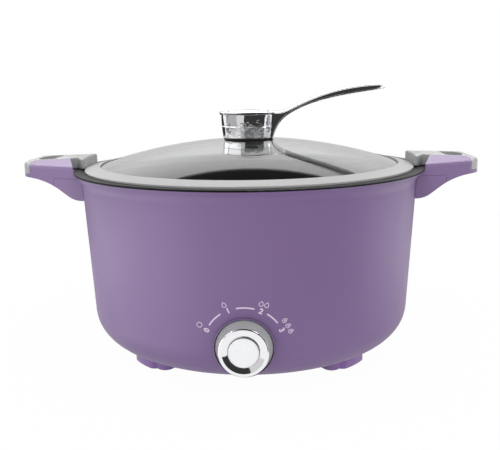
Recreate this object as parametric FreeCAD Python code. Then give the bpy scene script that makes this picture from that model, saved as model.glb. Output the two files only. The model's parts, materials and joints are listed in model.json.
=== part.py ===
import FreeCAD, Part
import math
import os

V = FreeCAD.Vector

# Electric hot pot with a lift-off glass lid. Millimetres, +Z up.
# Origin: on the floor under the housing's axis. The dial faces -Y, the handles lie along X.

# ---------------------------------------------------------------- driving dimensions
RIM_Z = 155.0            # top edge of the housing, where the pan's flange rests
RIM_R = 150.0            # housing and flange at the rim
FLARE_H = 6.0            # corner of the flare, below the rim
FLARE_W = 6.1            # how far the rim stands out past the wall
WALL_TAPER = 7.1         # how far the wall leans in, from the flare to the underside
FOOT_H = 10.0            # underside of the housing above the floor
TOE_FILLET = 28.7        # round lower edge of the housing
FLARE_FILLET = 10.0
SHELL_T = 2.0
LIP_T = 2.6              # housing's rim, thicker than its wall
OPENING_R = 78.0         # opening in the housing's underside

FIT = 0.2                # gap between pieces that are fixed together
CLEAR = 0.3              # gap between pieces that move apart

FLANGE_W = 14.0          # pan's flange, from its outer edge to the pan's mouth
FLANGE_SEAT_T = 0.9      # flange where the lid rests
FLANGE_BEAD_T = 1.5      # raised outer bead of the flange
FLANGE_BEAD_W = 5.7
BEAD_SLOPE = 0.6         # the bead's inner side leans in by this much
PAN_TAPER = 6.5
PAN_WALL = 2.0
PAN_BASE_T = 4.0
PAN_FILLET = 22.0
BASE_ROOM = 42.9         # from the housing's underside up to the pan's underside

PLATE_MARGIN = 11.5      # heater plate, inside the flat of the pan's underside
PLATE_T = 7.0
RIDGE_W = 8.0            # half width of the plate's ridge over the element
RIDGE_H = 2.0
ELEMENT_INSET = 16.0     # from the plate's edge to the middle of the element
ELEMENT_R = 3.4
ELEMENT_GAP_DEG = 26.0   # gap between the element's two cold ends
ELEMENT_BEND = 7.5       # bend of each cold end, from the ring down to the drop
ELEMENT_ROOM = 2.0       # free space round the cold ends
SHIELD_OVERHANG = 4.0    # heat shield past the plate's edge
SHIELD_T = 1.0
SHIELD_LIP = 6.0
SHIELD_GAP = 13.9        # from the plate down to the shield
SHIELD_STEP = 2.0        # height of the step pressed into the shield
SHIELD_STEP_R = 64.0
SHIELD_HOLE_R = 12.0
STUD_R = 2.0
STUD_COUNT = 3
STUD_INSET = 12.0        # from the support ring's inner edge to the studs
SLEEVE_R = 4.5
RING_H = 12.0            # flat of the support ring above the housing's underside
RING_T = 1.5
RING_IN_R = 44.0
RING_SHOULDER = 8.0      # the ring's flat ends this far inside the underside's opening
RING_FOOT = 10.5         # and its slope ends this far outside it
RING_FOOT_W = 12.5
RING_HOLE_R = 3.0
NUT_H = 3.2
NUT_AF = 7.0
THERMOSTAT_SPOT = (-38.0, -20.0)
THERMOSTAT_R = 8.0
THERMOSTAT_CUP_H = 3.0
THERMOSTAT_BODY_R = 6.8
THERMOSTAT_H = 9.0
FUSE_SPOT = (38.0, -8.0)
FUSE_R = 2.4
FUSE_LENGTH = 22.0
FUSE_STRAP_T = 1.2
FUSE_STRAP_L = 14.0
FUSE_STRAP_W = 6.0

COVER_LAP = 9.0          # base cover past the underside's opening
COVER_T = 2.5
COVER_SPIGOT_H = 5.0
COVER_SPIGOT_T = 2.0
COVER_RIB_RADII = (28.0, 66.0)
COVER_RIB_T = 1.6
COVER_RIB_H = 3.0
VENT_COUNT = 16
VENT_W = 3.2
VENT_IN_R = 34.0
VENT_OUT_R = 60.0
COVER_SCREWS = 6
SCREW_R = 1.5            # screws of the base cover, the feet and the grips
SCREW_HEAD_R = 2.9
SCREW_HEAD_H = 1.3

FOOT_INSET = 21.6        # from the carried-down wall to a foot's outer side
FOOT_GAP = 2.0           # from the base cover to a foot's inner side
FOOT_START_DEG = 33.0    # from the X axis towards the Y axis
FOOT_CREASE_DEG = 49.5
FOOT_END_DEG = 54.5
FOOT_LOBE_DROP = 2.2     # how far the small lobe stays inside the large one
FOOT_ROUND = 7.0
FOOT_WRAP = 6.0          # how far a foot wraps up the round edge
FOOT_EDGE_R = 1.8
PAD_INSET = 4.0
PAD_T = 2.0
PAD_PROUD = 1.0

LID_INSET = 3.3          # from the foot of the flange's bead to the lid's edge
LID_EDGE_T = 1.4
BAND_W = 13.0
BAND_RISE = 2.9          # height of the band's inner edge above its outer edge
SKIRT_PLAY = 0.8         # from the pan's mouth to the band's skirt
SKIRT_H = 7.0            # skirt below the seat, inside the pan's mouth
BAND_LIP = 1.5           # skirt's inner side, outside the band's inner edge
BAND_UNDER = 2.6         # band under the edge of the glass, below the seat
DOME_RISE = 25.2         # top of the dome above the rim
GLASS_EDGE_RISE = 2.6    # outer face of the glass at its edge, above the rim
GLASS_T = 4.0
GLASS_GRIP = 4.5         # how far the glass reaches into the band
GLASS_HOLE_R = 5.0
GLASS_EDGE_ROUND = 1.2
VENT_HOLE_R = 4.0
VENT_PITCH_R = 84.0      # steam vent, from the lid's axis
VENT_DEG = 90.0

KNOB_BASE_R = 22.0
KNOB_TOP_R = 26.0
KNOB_H = 22.6
KNOB_CREASE_H = 10.4
KNOB_CREASE_OUT = 1.4    # crease past the knob's foot
KNOB_LIP = 1.2           # lip round the top past the wall under it
KNOB_LIP_H = 2.2
KNOB_WELL = 3.0          # depth of the seat for the knob's cap
CAP_R = 12.2
CAP_PROUD = 1.8
KNOB_SEAT = 0.4          # underside of the knob above the dome's top
ARM_W = 22.0
ARM_TIP_X = 117.6
ARM_TIP_RISE = 22.4      # top of the arm's tip above the knob's top
ARM_T = 4.4              # thickness at the tip
ARM_WAIST = 1.5          # how much narrower each side is halfway along
ARM_EDGE_R = 1.7         # rounded long edges
LID_SCREW_R = 2.0
LID_SCREW_HEAD_R = 4.2
SCREW_BITE = 12.0        # depth of the screw hole in the knob
WASHER_R = 11.5
WASHER_T = 1.2
LID_GASKET_R = 13.0
LID_GASKET_T = 2.0

DIAL_Z = 41.7            # dial axis above the floor
BEZEL_R = 22.0
BEZEL_PROUD = 3.6        # bezel's front face, from the wall behind it
BEZEL_WALL = 0.6
BEZEL_RECESS = 2.4
DIAL_PLAY = 0.3          # from the bezel's recess to the dial's skirt
DIAL_TAPER = 3.4         # how much smaller the dial's face is than its skirt
DIAL_DEPTH = 9.2         # dial's face in front of the bezel
DIAL_CAP_R = 11.0
DIAL_CAP_PROUD = 0.9     # top of the cap in front of the dial's face
DIAL_CAP_BEVEL = 1.2     # bevel round the cap's top
DIAL_RING_DEPTH = 1.4    # sunk ring round the cap
SHAFT_R = 3.0
SHAFT_RUN = 0.05         # running clearance of the shaft in its bush
DIAL_CAP_T = 2.2         # depth of its seat behind the dial's face
KNOB_FACE_T = 4.2        # dial's face, from its front to the hollow behind it
SHAFT_TIP = 3.2          # shaft's outer end behind the dial's face
FLAT_L = 5.5
POINTER_DEG = 158.0      # pointer at rest, from +X, seen from the front
SWITCH_W = 28.0
SWITCH_H = 20.0
SWITCH_INSET = 6.4       # switch's front face, behind the wall's outer face
SWITCH_DEPTH = 22.0
BUSH_R = 5.0
SWITCH_TAB = 4.0
SWITCH_TAB_XS = (-9.0, -3.0, 3.0, 9.0)
SWITCH_NUT_R = 8.5
SWITCH_NUT_H = 2.2

INLET_Z = 41.7
INLET_W = 34.0
INLET_H = 26.0
INLET_PROUD = 2.6        # inlet's face, from the wall behind it
INLET_BODY_W = 28.0
INLET_BODY_H = 21.0
INLET_BODY_DEPTH = 24.0
SOCKET_W = 24.2
SOCKET_H = 16.6
SOCKET_DEPTH = 16.0
PIN_SPREAD = 7.0
PIN_W = 2.0
PIN_H = 4.0
PIN_TAB = 7.0            # how far the pins stand out behind the housing
PIN_DEEP = 6.5           # tips of the pins, below the inlet's face
SNAP_REACH = 1.5         # how far a snap stands out of the inlet's box
SNAP_L = 7.0
SNAP_W = 8.0
LEAD_R = 1.3
LEAD_BEND = 2.4
LEAD_TURN_Y = -60.0      # where the leads turn towards the switch

HANDLE_REACH = 43.7      # handle's end, from the rim
HANDLE_W = 38.0          # half width of a handle at the housing
HANDLE_NARROWING = 10.0  # how much of that it loses at the end
HANDLE_END_R = 16.0      # round corners of the end
HANDLE_TOP = 11.9        # top at the root, above the rim
HANDLE_TOP_FALL = 0.03   # fall of the top per millimetre outwards
BEVEL_W = 19.0           # half width of the handle outside its flat top
BEVEL_DEG = 17.0
END_BEVEL_L = 5.0        # bevel of the outer end, along and down
END_BEVEL_H = 2.6
SHOULDER_R = 3.2         # soft edge along the bevels
HANDLE_UNDER = 3.8       # underside at the outer end, below the rim
HANDLE_DEEP = 23.4       # underside at the root, below the rim
UNDER_LOW = 1.4          # lower corner of the S-curved underside, outside the wall's top
UNDER_SLOPE_DEG = 35.0
UNDER_LOW_BEND = 20.0
UNDER_HIGH_BEND = 58.0
PARTING = 4.5            # parting plane of bracket and grip, below the rim
BRACKET_REACH = 14.0     # bracket's outer end, from the rim
HEAD_GAP = 0.5           # from the lid's edge to the tongue
HEAD_INSET = 11.0        # from the handle's side to the side of the flared tongue
HEAD_L = 11.0            # flare ends this far inside the rim
HEAD_CORNER_R = 1.8      # upright front corners of the tongue
HEAD_EDGE_R = 1.2        # top edges of the tongue
WAIST_INSET = 11.0       # from the tongue's side to the side of the waist
WAIST_IN = 2.5           # waist of the cover, inside the rim
COLLAR = 4.0             # from here outwards the cover is as wide as the flat top
POCKET_IN = 4.6          # sloped front edges of the grip's pocket: start inside the rim
POCKET_OUT = 3.0         # and end outside it
TONGUE_LIFT = 2.1        # underside of the tongue above the rim
CAP_DROP = 1.0           # lower edge of the grey end, below the rim
CAP_L = 8.2              # length of the grey end
SLOT_FROM_END = 9.4      # finger slot, from the handle's end
SLOT_L = 16.5
SLOT_RIM = 2.0           # from the flat top's edge to the slot
SLOT_BOW = 3.0
WALL_SCREW_R = 2.0
WALL_SCREW_HEAD_R = 3.6
WALL_SCREW_HEAD_H = 1.6
WALL_SCREW_L = 13.0
WALL_SCREW_INSET = 20.0  # from the handle's side
WALL_SCREW_DROP = 15.0   # below the rim
GRIP_SCREW_OUT = 7.0     # outside the rim
GRIP_SCREW_INSET = 12.0
GRIP_SCREW_SEAT = 9.0    # tops of the grip screws' heads, below the rim
GRIP_SCREW_RISE = 1.0    # tips of the grip screws, above the rim

# ---------------------------------------------------------------- values that follow
NECK_R = RIM_R - FLARE_W
NECK_Z = RIM_Z - FLARE_H
TOE_R = NECK_R - WALL_TAPER
SHELL_FLOOR_Z = FOOT_H + SHELL_T

SEAT_Z = RIM_Z + FLANGE_SEAT_T
FLANGE_BEAD_R = RIM_R - FLANGE_BEAD_W
PAN_MOUTH_R = RIM_R - FLANGE_W
PAN_FLOOR_R = PAN_MOUTH_R - PAN_TAPER
PAN_UNDER_Z = FOOT_H + BASE_ROOM
PAN_FLOOR_Z = PAN_UNDER_Z + PAN_BASE_T

PLATE_UNDER_Z = PAN_UNDER_Z - PLATE_T
PLATE_R = PAN_FLOOR_R - PAN_FILLET - PLATE_MARGIN
RIDGE_Z = PLATE_UNDER_Z + RIDGE_H
ELEMENT_RING_R = PLATE_R - ELEMENT_INSET
ELEMENT_DROP = SHIELD_GAP + 0.1
ELEMENT_ENDS = [(90 + ELEMENT_GAP_DEG / 2, -1), (450 - ELEMENT_GAP_DEG / 2, 1)]
SHIELD_R = PLATE_R + SHIELD_OVERHANG
SHIELD_Z = PLATE_UNDER_Z - SHIELD_GAP
STUD_PITCH_R = RING_IN_R + STUD_INSET
STUD_DEGS = [90 + 360 * i / STUD_COUNT for i in range(STUD_COUNT)]
RING_TOP_Z = FOOT_H + RING_H
RING_SHOULDER_R = OPENING_R - RING_SHOULDER
RING_FOOT_R = OPENING_R + RING_FOOT
RING_OUT_R = RING_FOOT_R + RING_FOOT_W

COVER_R = OPENING_R + COVER_LAP
COVER_SCREW_PITCH_R = OPENING_R + COVER_LAP / 2
FOOT_OUT_R = TOE_R - FOOT_INSET
FOOT_IN_R = COVER_R + FOOT_GAP
FOOT_SCREW_PITCH_R = RING_OUT_R + SCREW_R + 2
FOOT_TOP = FOOT_H + FOOT_WRAP

LID_R = FLANGE_BEAD_R - LID_INSET
LID_Z = SEAT_Z + CLEAR
BAND_IN_R = LID_R - BAND_W
SKIRT_R = PAN_MOUTH_R - SKIRT_PLAY
GLASS_EDGE_R = BAND_IN_R + GLASS_GRIP
DOME_TOP_Z = RIM_Z + DOME_RISE
DOME_H = DOME_RISE - GLASS_EDGE_RISE
DOME_R = (GLASS_EDGE_R ** 2 + DOME_H ** 2) / (2 * DOME_H)
KNOB_Z = DOME_TOP_Z + KNOB_SEAT
KNOB_TOP_Z = KNOB_Z + KNOB_H
KNOB_WELL_Z = KNOB_TOP_Z - KNOB_WELL
GLASS_UNDER_Z = DOME_TOP_Z - GLASS_T
WASHER_Z = GLASS_UNDER_Z - LID_GASKET_T


def wall_r(z):
    """Radius of the housing's tapered wall at a height above its round lower edge."""
    return TOE_R + WALL_TAPER * (z - FOOT_H) / (NECK_Z - FOOT_H)


BEZEL_FRONT = wall_r(DIAL_Z) + BEZEL_PROUD
BEZEL_RECESS_R = BEZEL_R - BEZEL_WALL
DIAL_BACK = BEZEL_FRONT - BEZEL_RECESS
DIAL_FRONT = BEZEL_FRONT + DIAL_DEPTH
DIAL_BASE_R = BEZEL_RECESS_R - DIAL_PLAY
DIAL_FACE_R = DIAL_BASE_R - DIAL_TAPER
SWITCH_FRONT = wall_r(DIAL_Z) - SWITCH_INSET
SWITCH_BACK = SWITCH_FRONT - SWITCH_DEPTH
BUSH_FRONT = DIAL_BACK + SWITCH_NUT_H + 0.4
SHAFT_FRONT = DIAL_FRONT - SHAFT_TIP
SHAFT_END = SWITCH_BACK + 6
INLET_FACE = wall_r(INLET_Z) + INLET_PROUD
INLET_BACK = INLET_FACE - INLET_BODY_DEPTH

HANDLE_ROOT_X = NECK_R - 30
HANDLE_END_X = RIM_R + HANDLE_REACH
HANDLE_END_W = HANDLE_W - HANDLE_NARROWING
HANDLE_TOP_W = HANDLE_W - BEVEL_W
HEAD_W = HANDLE_W - HEAD_INSET
WAIST_W = HEAD_W - WAIST_INSET
SLOT_W = HANDLE_TOP_W - SLOT_RIM
HANDLE_DEEP_Z = RIM_Z - HANDLE_DEEP
BRACKET_END_X = RIM_R + BRACKET_REACH
SLOT_OUT_X = HANDLE_END_X - SLOT_FROM_END
SLOT_IN_X = SLOT_OUT_X - SLOT_L
CAP_X = HANDLE_END_X - CAP_L
WALL_SCREW_Y = HANDLE_W - WALL_SCREW_INSET
GRIP_SCREW_X = RIM_R + GRIP_SCREW_OUT
GRIP_SCREW_Y = HANDLE_W - GRIP_SCREW_INSET
GRIP_SCREW_TOP = RIM_Z + GRIP_SCREW_RISE


# ---------------------------------------------------------------- helpers
def on_xy(z):
    return lambda a, b: V(a, b, z)


def on_xz(y):
    return lambda a, b: V(a, y, b)


def on_yz(x):
    return lambda a, b: V(x, a, b)


def corner_arc(before, corner, after):
    """Start, middle and end of the tangent arc that rounds one corner of an outline."""
    here = V(corner[0], corner[1], 0)
    radius = corner[2] if len(corner) > 2 else 0
    if radius == 0:
        return here, here, here
    back = (V(before[0], before[1], 0) - here).normalize()
    ahead = (V(after[0], after[1], 0) - here).normalize()
    half = back.getAngle(ahead) / 2
    reach = radius / math.tan(half)
    bisector = (back + ahead).normalize()
    middle = here + bisector * (radius / math.sin(half) - radius)
    return here + back * reach, middle, here + ahead * reach


def outline(corners, place):
    """Closed wire of straight runs; a corner (a, b, radius) is rounded by a tangent arc."""
    count = len(corners)
    arcs = [corner_arc(corners[i - 1], corners[i], corners[(i + 1) % count]) for i in range(count)]
    edges = []
    for i, (start, middle, end) in enumerate(arcs):
        if start.distanceToPoint(end) > 1e-6:
            edges.append(Part.Arc(*[place(p.x, p.y) for p in (start, middle, end)]).toShape())
        following = arcs[(i + 1) % count][0]
        if end.distanceToPoint(following) > 1e-6:
            edges.append(Part.makeLine(place(end.x, end.y), place(following.x, following.y)))
    return Part.Wire(edges)


def turned(corners):
    """Solid of revolution about Z from an outline of (radius, height) corners."""
    return Part.Face(outline(corners, on_xz(0))).revolve(V(0, 0, 0), V(0, 0, 1), 360)


def prism(corners, low, high):
    """Plan outline carried from one height to another."""
    return Part.Face(outline(corners, on_xy(low))).extrude(V(0, 0, high - low))


def cylinder_z(radius, low, high, x=0, y=0):
    return Part.makeCylinder(radius, high - low, V(x, y, low))


def cylinder_y(radius, start, end, z, x=0):
    """Cylinder along Y from one y to a greater one."""
    return Part.makeCylinder(radius, end - start, V(x, start, z), V(0, 1, 0))


def block(x0, x1, y0, y1, z0, z1):
    return Part.makeBox(x1 - x0, y1 - y0, z1 - z0, V(x0, y0, z0))


def polar(radius, degrees):
    angle = math.radians(degrees)
    return radius * math.cos(angle), radius * math.sin(angle)


def around(shape, degrees):
    """Copy of a shape turned about Z."""
    copy = shape.copy()
    copy.rotate(V(0, 0, 0), V(0, 0, 1), degrees)
    return copy


def both_ways(corners, tip=()):
    """Outline symmetric about the X axis, from its half on the -Y side and any tip on the axis."""
    mirrored = [(c[0], -c[1]) + tuple(c[2:]) for c in reversed(corners)]
    return list(corners) + list(tip) + mirrored


def hexagon(across_flats, low, high, x=0, y=0):
    radius = across_flats / math.sqrt(3)
    corners = [(x + polar(radius, 60 * i)[0], y + polar(radius, 60 * i)[1]) for i in range(6)]
    return prism(corners, low, high)


def edges_where(shape, test):
    """Edges of a shape whose middle point passes a test."""
    found = []
    for edge in shape.Edges:
        middle = edge.valueAt((edge.FirstParameter + edge.LastParameter) / 2)
        if test(edge, middle):
            found.append(edge)
    return found


def swept(path, radius):
    """Round bar along a wire."""
    first = path.Edges[0]
    start = first.valueAt(first.FirstParameter)
    section = Part.makeCircle(radius, start, first.tangentAt(first.FirstParameter))
    return path.makePipe(Part.Face(Part.Wire(section)))


def tube(points, radius, bend):
    """Round tube along straight runs joined by tangent arcs of one bend radius."""
    spots = [V(*p) for p in points]
    edges = []
    start = spots[0]
    for before, here, after in zip(spots, spots[1:], spots[2:]):
        back = (before - here).normalize()
        ahead = (after - here).normalize()
        half = back.getAngle(ahead) / 2
        reach = bend / math.tan(half)
        middle = here + (back + ahead).normalize() * (bend / math.sin(half) - bend)
        edges.append(Part.makeLine(start, here + back * reach))
        edges.append(Part.Arc(here + back * reach, middle, here + ahead * reach).toShape())
        start = here + ahead * reach
    edges.append(Part.makeLine(start, spots[-1]))
    return swept(Part.Wire(edges), radius)


def screw_hole(x, y, low, high):
    return cylinder_z(SCREW_R + FIT, low, high, x, y)


def head_hole(x, y, low, high):
    return cylinder_z(SCREW_HEAD_R + CLEAR, low, high, x, y)


def pan_head_screw(x, y, low, high):
    """Upright screw with its head down."""
    head = cylinder_z(SCREW_HEAD_R, low, low + SCREW_HEAD_H, x, y)
    return head.fuse(cylinder_z(SCREW_R, low + SCREW_HEAD_H, high, x, y))


def group(solids):
    return Part.makeCompound([s for shape in solids for s in shape.Solids])


def save(name, shape):
    shape.exportStep(os.path.join("parts", name + ".step"))
    print(name, len(shape.Solids), round(shape.Volume))


# ---------------------------------------------------------------- housing
def envelope(gap, above):
    """Everything inside the housing's outer face, grown by a gap, with the flange on top."""
    low = FOOT_H - gap
    return turned([
        (0, low),
        (TOE_R + gap, low, TOE_FILLET + gap),
        (NECK_R + gap, NECK_Z, FLARE_FILLET),
        (RIM_R + gap, RIM_Z - gap),
        (RIM_R + gap, RIM_Z + above),
        (0, RIM_Z + above),
    ])


def outer_shell():
    """Moulded housing: tapered wall, round lower edge, flared rim, open underneath."""
    shell = turned([
        (OPENING_R, FOOT_H),
        (TOE_R, FOOT_H, TOE_FILLET),
        (NECK_R, NECK_Z, FLARE_FILLET),
        (RIM_R, RIM_Z),
        (RIM_R - LIP_T, RIM_Z),
        (NECK_R - SHELL_T, NECK_Z, FLARE_FILLET + SHELL_T),
        (TOE_R - SHELL_T, SHELL_FLOOR_Z, TOE_FILLET - SHELL_T),
        (OPENING_R, SHELL_FLOOR_Z),
    ])
    shell = shell.cut(cylinder_y(BUSH_R + FIT, -RIM_R, -SWITCH_FRONT, DIAL_Z))
    half_w = INLET_BODY_W / 2 + FIT
    half_h = INLET_BODY_H / 2 + FIT
    shell = shell.cut(block(-half_w, half_w, INLET_BACK, RIM_R, INLET_Z - half_h, INLET_Z + half_h))
    for screw in wall_screw_spots():
        shell = shell.cut(wall_screw(screw, WALL_SCREW_R + FIT))
    for x, y in cover_screw_spots() + foot_screw_spots():
        shell = shell.cut(screw_hole(x, y, FOOT_H - 1, SHELL_FLOOR_Z + 1))
    return shell


def inner_pan():
    """Coated pan: stepped flange with a raised bead, tapered wall, thick base."""
    bead_z = RIM_Z + FLANGE_BEAD_T
    return turned([
        (0, PAN_UNDER_Z),
        (PAN_FLOOR_R + PAN_WALL, PAN_UNDER_Z, PAN_FILLET + PAN_WALL),
        (PAN_MOUTH_R + PAN_WALL, RIM_Z, 2),
        (RIM_R, RIM_Z),
        (RIM_R, bead_z, 0.7),
        (FLANGE_BEAD_R, bead_z, 0.5),
        (FLANGE_BEAD_R - BEAD_SLOPE, SEAT_Z, 0.4),
        (PAN_MOUTH_R, SEAT_Z, 0.8),
        (PAN_FLOOR_R, PAN_FLOOR_Z, PAN_FILLET),
        (0, PAN_FLOOR_Z),
    ])


# ---------------------------------------------------------------- heating
def cold_end(degrees, turn):
    """Path of one cold end: it leaves the ring along its tangent, bends down and drops."""
    x, y = polar(ELEMENT_RING_R, degrees)
    along = V(-y, x, 0).normalize() * turn
    centre = V(x, y, PLATE_UNDER_Z - ELEMENT_BEND)
    top = V(x, y, PLATE_UNDER_Z)
    knee = centre + (along + V(0, 0, 1)) * (ELEMENT_BEND / math.sqrt(2))
    foot = centre + along * ELEMENT_BEND
    drop = Part.makeLine(foot, foot - V(0, 0, ELEMENT_DROP - ELEMENT_BEND))
    return Part.Wire([Part.Arc(top, knee, foot).toShape(), drop])


def element_feet():
    """Where the element's two cold ends come down: (x, y) of each."""
    tips = [cold_end(*end).Vertexes[-1].Point for end in ELEMENT_ENDS]
    return [(tip.x, tip.y) for tip in tips]


def heating_element():
    """Sheathed ring element; its cold ends bend down through the heat shield."""
    (start, _), (end, _) = ELEMENT_ENDS
    degrees = (start, (start + end) / 2, end)
    ring = Part.Arc(*[V(*polar(ELEMENT_RING_R, d), PLATE_UNDER_Z) for d in degrees])
    element = swept(Part.Wire([ring.toShape()]), ELEMENT_R)
    for degrees, turn in ELEMENT_ENDS:
        element = element.fuse(swept(cold_end(degrees, turn), ELEMENT_R))
    return element.removeSplitter()


def heater_plate():
    """Cast plate under the pan; a ridge round it holds the element in a half-round groove."""
    inner = ELEMENT_RING_R - RIDGE_W
    outer = ELEMENT_RING_R + RIDGE_W
    plate = turned([
        (0, RIDGE_Z),
        (inner - 4, RIDGE_Z, 2),
        (inner, PLATE_UNDER_Z, 2),
        (outer, PLATE_UNDER_Z, 2),
        (outer + 3, RIDGE_Z, 2),
        (PLATE_R, RIDGE_Z),
        (PLATE_R, PAN_UNDER_Z),
        (0, PAN_UNDER_Z),
    ])
    plate = plate.cut(Part.makeTorus(ELEMENT_RING_R, ELEMENT_R + FIT, V(0, 0, PLATE_UNDER_Z)))
    for x, y in element_feet():
        plate = plate.cut(cylinder_z(ELEMENT_R + 3, PLATE_UNDER_Z - 1, RIDGE_Z + 1, x, y))
    return plate


def heat_shield():
    """Pressed reflector under the plate with a rolled-up lip and a stiffening step."""
    high = SHIELD_Z + SHIELD_STEP
    shield = turned([
        (0, SHIELD_Z),
        (SHIELD_STEP_R - 2, SHIELD_Z, 2),
        (SHIELD_STEP_R + 2, high, 2),
        (SHIELD_R, high, 3),
        (SHIELD_R, SHIELD_Z + SHIELD_LIP),
        (SHIELD_R - SHIELD_T, SHIELD_Z + SHIELD_LIP),
        (SHIELD_R - SHIELD_T, high + SHIELD_T, 2),
        (SHIELD_STEP_R + 1.5, high + SHIELD_T, 2),
        (SHIELD_STEP_R - 2.5, SHIELD_Z + SHIELD_T, 2),
        (0, SHIELD_Z + SHIELD_T),
    ])
    holes = [(SHIELD_HOLE_R, 0, 0)]
    holes += [(STUD_R + FIT, *polar(STUD_PITCH_R, degrees)) for degrees in STUD_DEGS]
    holes += [(ELEMENT_R + ELEMENT_ROOM, x, y) for x, y in element_feet()]
    for radius, x, y in holes:
        shield = shield.cut(cylinder_z(radius, SHIELD_Z - 1, high + SHIELD_T + 1, x, y))
    return shield


def pan_studs():
    """Threaded studs that pull the pan and the plate down onto the support ring."""
    low = RING_TOP_Z - NUT_H - 2.5
    return group([cylinder_z(STUD_R, low, RIDGE_Z, *polar(STUD_PITCH_R, d)) for d in STUD_DEGS])


def sleeves(low, high):
    """Spacer sleeves round the studs."""
    found = []
    for degrees in STUD_DEGS:
        x, y = polar(STUD_PITCH_R, degrees)
        bore = cylinder_z(STUD_R + FIT, low, high, x, y)
        found.append(cylinder_z(SLEEVE_R, low, high, x, y).cut(bore))
    return group(found)


def support_ring():
    """Pressed ring that bridges the underside's opening and carries the studs."""
    floor = SHELL_FLOOR_Z
    ring = turned([
        (RING_OUT_R, floor),
        (RING_OUT_R, floor + RING_T),
        (RING_FOOT_R, floor + RING_T, 2),
        (RING_SHOULDER_R, RING_TOP_Z, 3),
        (RING_IN_R, RING_TOP_Z),
        (RING_IN_R, RING_TOP_Z - RING_T),
        (RING_SHOULDER_R - 0.8, RING_TOP_Z - RING_T, 2),
        (RING_FOOT_R - 0.8, floor, 2),
    ])
    holes = [(STUD_R + FIT, *polar(STUD_PITCH_R, degrees)) for degrees in STUD_DEGS]
    holes += [(RING_HOLE_R, *polar((RING_FOOT_R + RING_OUT_R) / 2, 60 * i)) for i in range(6)]
    for radius, x, y in holes:
        ring = ring.cut(cylinder_z(radius, floor - 1, RING_TOP_Z + 1, x, y))
    return ring


def pan_nuts():
    nuts = []
    high = RING_TOP_Z - RING_T
    for degrees in STUD_DEGS:
        x, y = polar(STUD_PITCH_R, degrees)
        nut = hexagon(NUT_AF, high - NUT_H, high, x, y)
        nuts.append(nut.cut(cylinder_z(STUD_R, high - NUT_H, high, x, y)))
    return group(nuts)


def limit_thermostat():
    """Disc thermostat pressed under the heater plate: metal cup, moulded body, two tabs."""
    x, y = THERMOSTAT_SPOT
    low = RIDGE_Z - THERMOSTAT_H
    body = cylinder_z(THERMOSTAT_R, RIDGE_Z - THERMOSTAT_CUP_H, RIDGE_Z, x, y)
    body = body.fuse(cylinder_z(THERMOSTAT_BODY_R, low, RIDGE_Z - THERMOSTAT_CUP_H, x, y))
    reach = THERMOSTAT_BODY_R + 6
    tabs = block(x - reach, x + reach, y - 1.6, y + 1.6, low + 1, low + 1.8)
    return body.fuse(tabs).removeSplitter()


def thermal_fuse():
    """Fuse in its sleeve and the strap that clips it against the heater plate."""
    x, y = FUSE_SPOT
    z = RIDGE_Z - FUSE_R - FIT
    sleeve = cylinder_y(FUSE_R, y - FUSE_LENGTH / 2, y + FUSE_LENGTH / 2, z, x)
    half_l = FUSE_STRAP_L / 2
    half_w = FUSE_STRAP_W / 2
    strap_z = z - FUSE_R
    strap = block(x - half_l, x + half_l, y - half_w, y + half_w, strap_z - FUSE_STRAP_T, strap_z)
    return group([sleeve, strap])


# ---------------------------------------------------------------- base
def cover_screw_spots():
    return [polar(COVER_SCREW_PITCH_R, 15 + 360 * i / COVER_SCREWS) for i in range(COVER_SCREWS)]


def base_cover():
    """Moulded cover: plate under the opening, locating spigot, ribs and radial vents."""
    plate_z = FOOT_H - COVER_T
    spigot_r = OPENING_R - FIT
    cover = turned([
        (0, plate_z),
        (COVER_R, plate_z, 1.8),
        (COVER_R, FOOT_H),
        (spigot_r, FOOT_H),
        (spigot_r, FOOT_H + COVER_SPIGOT_H),
        (spigot_r - COVER_SPIGOT_T, FOOT_H + COVER_SPIGOT_H),
        (spigot_r - COVER_SPIGOT_T, FOOT_H, 1),
        (0, FOOT_H),
    ])
    for radius in COVER_RIB_RADII:
        rib = cylinder_z(radius, FOOT_H, FOOT_H + COVER_RIB_H)
        cover = cover.fuse(rib.cut(cylinder_z(radius - COVER_RIB_T, FOOT_H, FOOT_H + COVER_RIB_H)))
    half = VENT_W / 2
    vent = prism([
        (VENT_IN_R, -half, half * 0.98),
        (VENT_OUT_R, -half, half * 0.98),
        (VENT_OUT_R, half, half * 0.98),
        (VENT_IN_R, half, half * 0.98),
    ], plate_z - 1, FOOT_H + 1)
    for i in range(VENT_COUNT):
        cover = cover.cut(around(vent, 360 * (i + 0.5) / VENT_COUNT))
    for x, y in cover_screw_spots():
        cover = cover.cut(screw_hole(x, y, plate_z - 1, FOOT_H + 1))
        cover = cover.cut(head_hole(x, y, plate_z - 1, plate_z + SCREW_HEAD_H + FIT))
    return cover


def base_screws():
    """Screws sunk in the cover and driven into the housing."""
    low = FOOT_H - COVER_T + FIT / 2
    return group([pan_head_screw(x, y, low, SHELL_FLOOR_Z + 1.2) for x, y in cover_screw_spots()])


def foot_plan(inset):
    """Plan of a foot in the +X +Y quarter: an arched pad and a small lobe past a crease."""
    out = FOOT_OUT_R - inset
    into = FOOT_IN_R + inset
    turn = math.degrees(inset / FOOT_OUT_R)
    bend = FOOT_ROUND - inset
    start = FOOT_START_DEG + turn
    crease = FOOT_CREASE_DEG - turn
    end = FOOT_END_DEG - turn
    main = [
        polar(into, start) + (bend,),
        polar(out + 0.4, start) + (bend,),
        polar(out + 1.0, (FOOT_START_DEG + FOOT_CREASE_DEG) / 2) + (60,),
        polar(out + 0.4, crease) + (bend,),
        polar(into, crease) + (2,),
    ]
    lobe = [
        polar(into, FOOT_CREASE_DEG - 9),
        polar(out - FOOT_LOBE_DROP, FOOT_CREASE_DEG - 9),
        polar(out - FOOT_LOBE_DROP, end) + (bend + 1,),
        polar(into, end) + (bend,),
    ]
    return main, lobe


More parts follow.
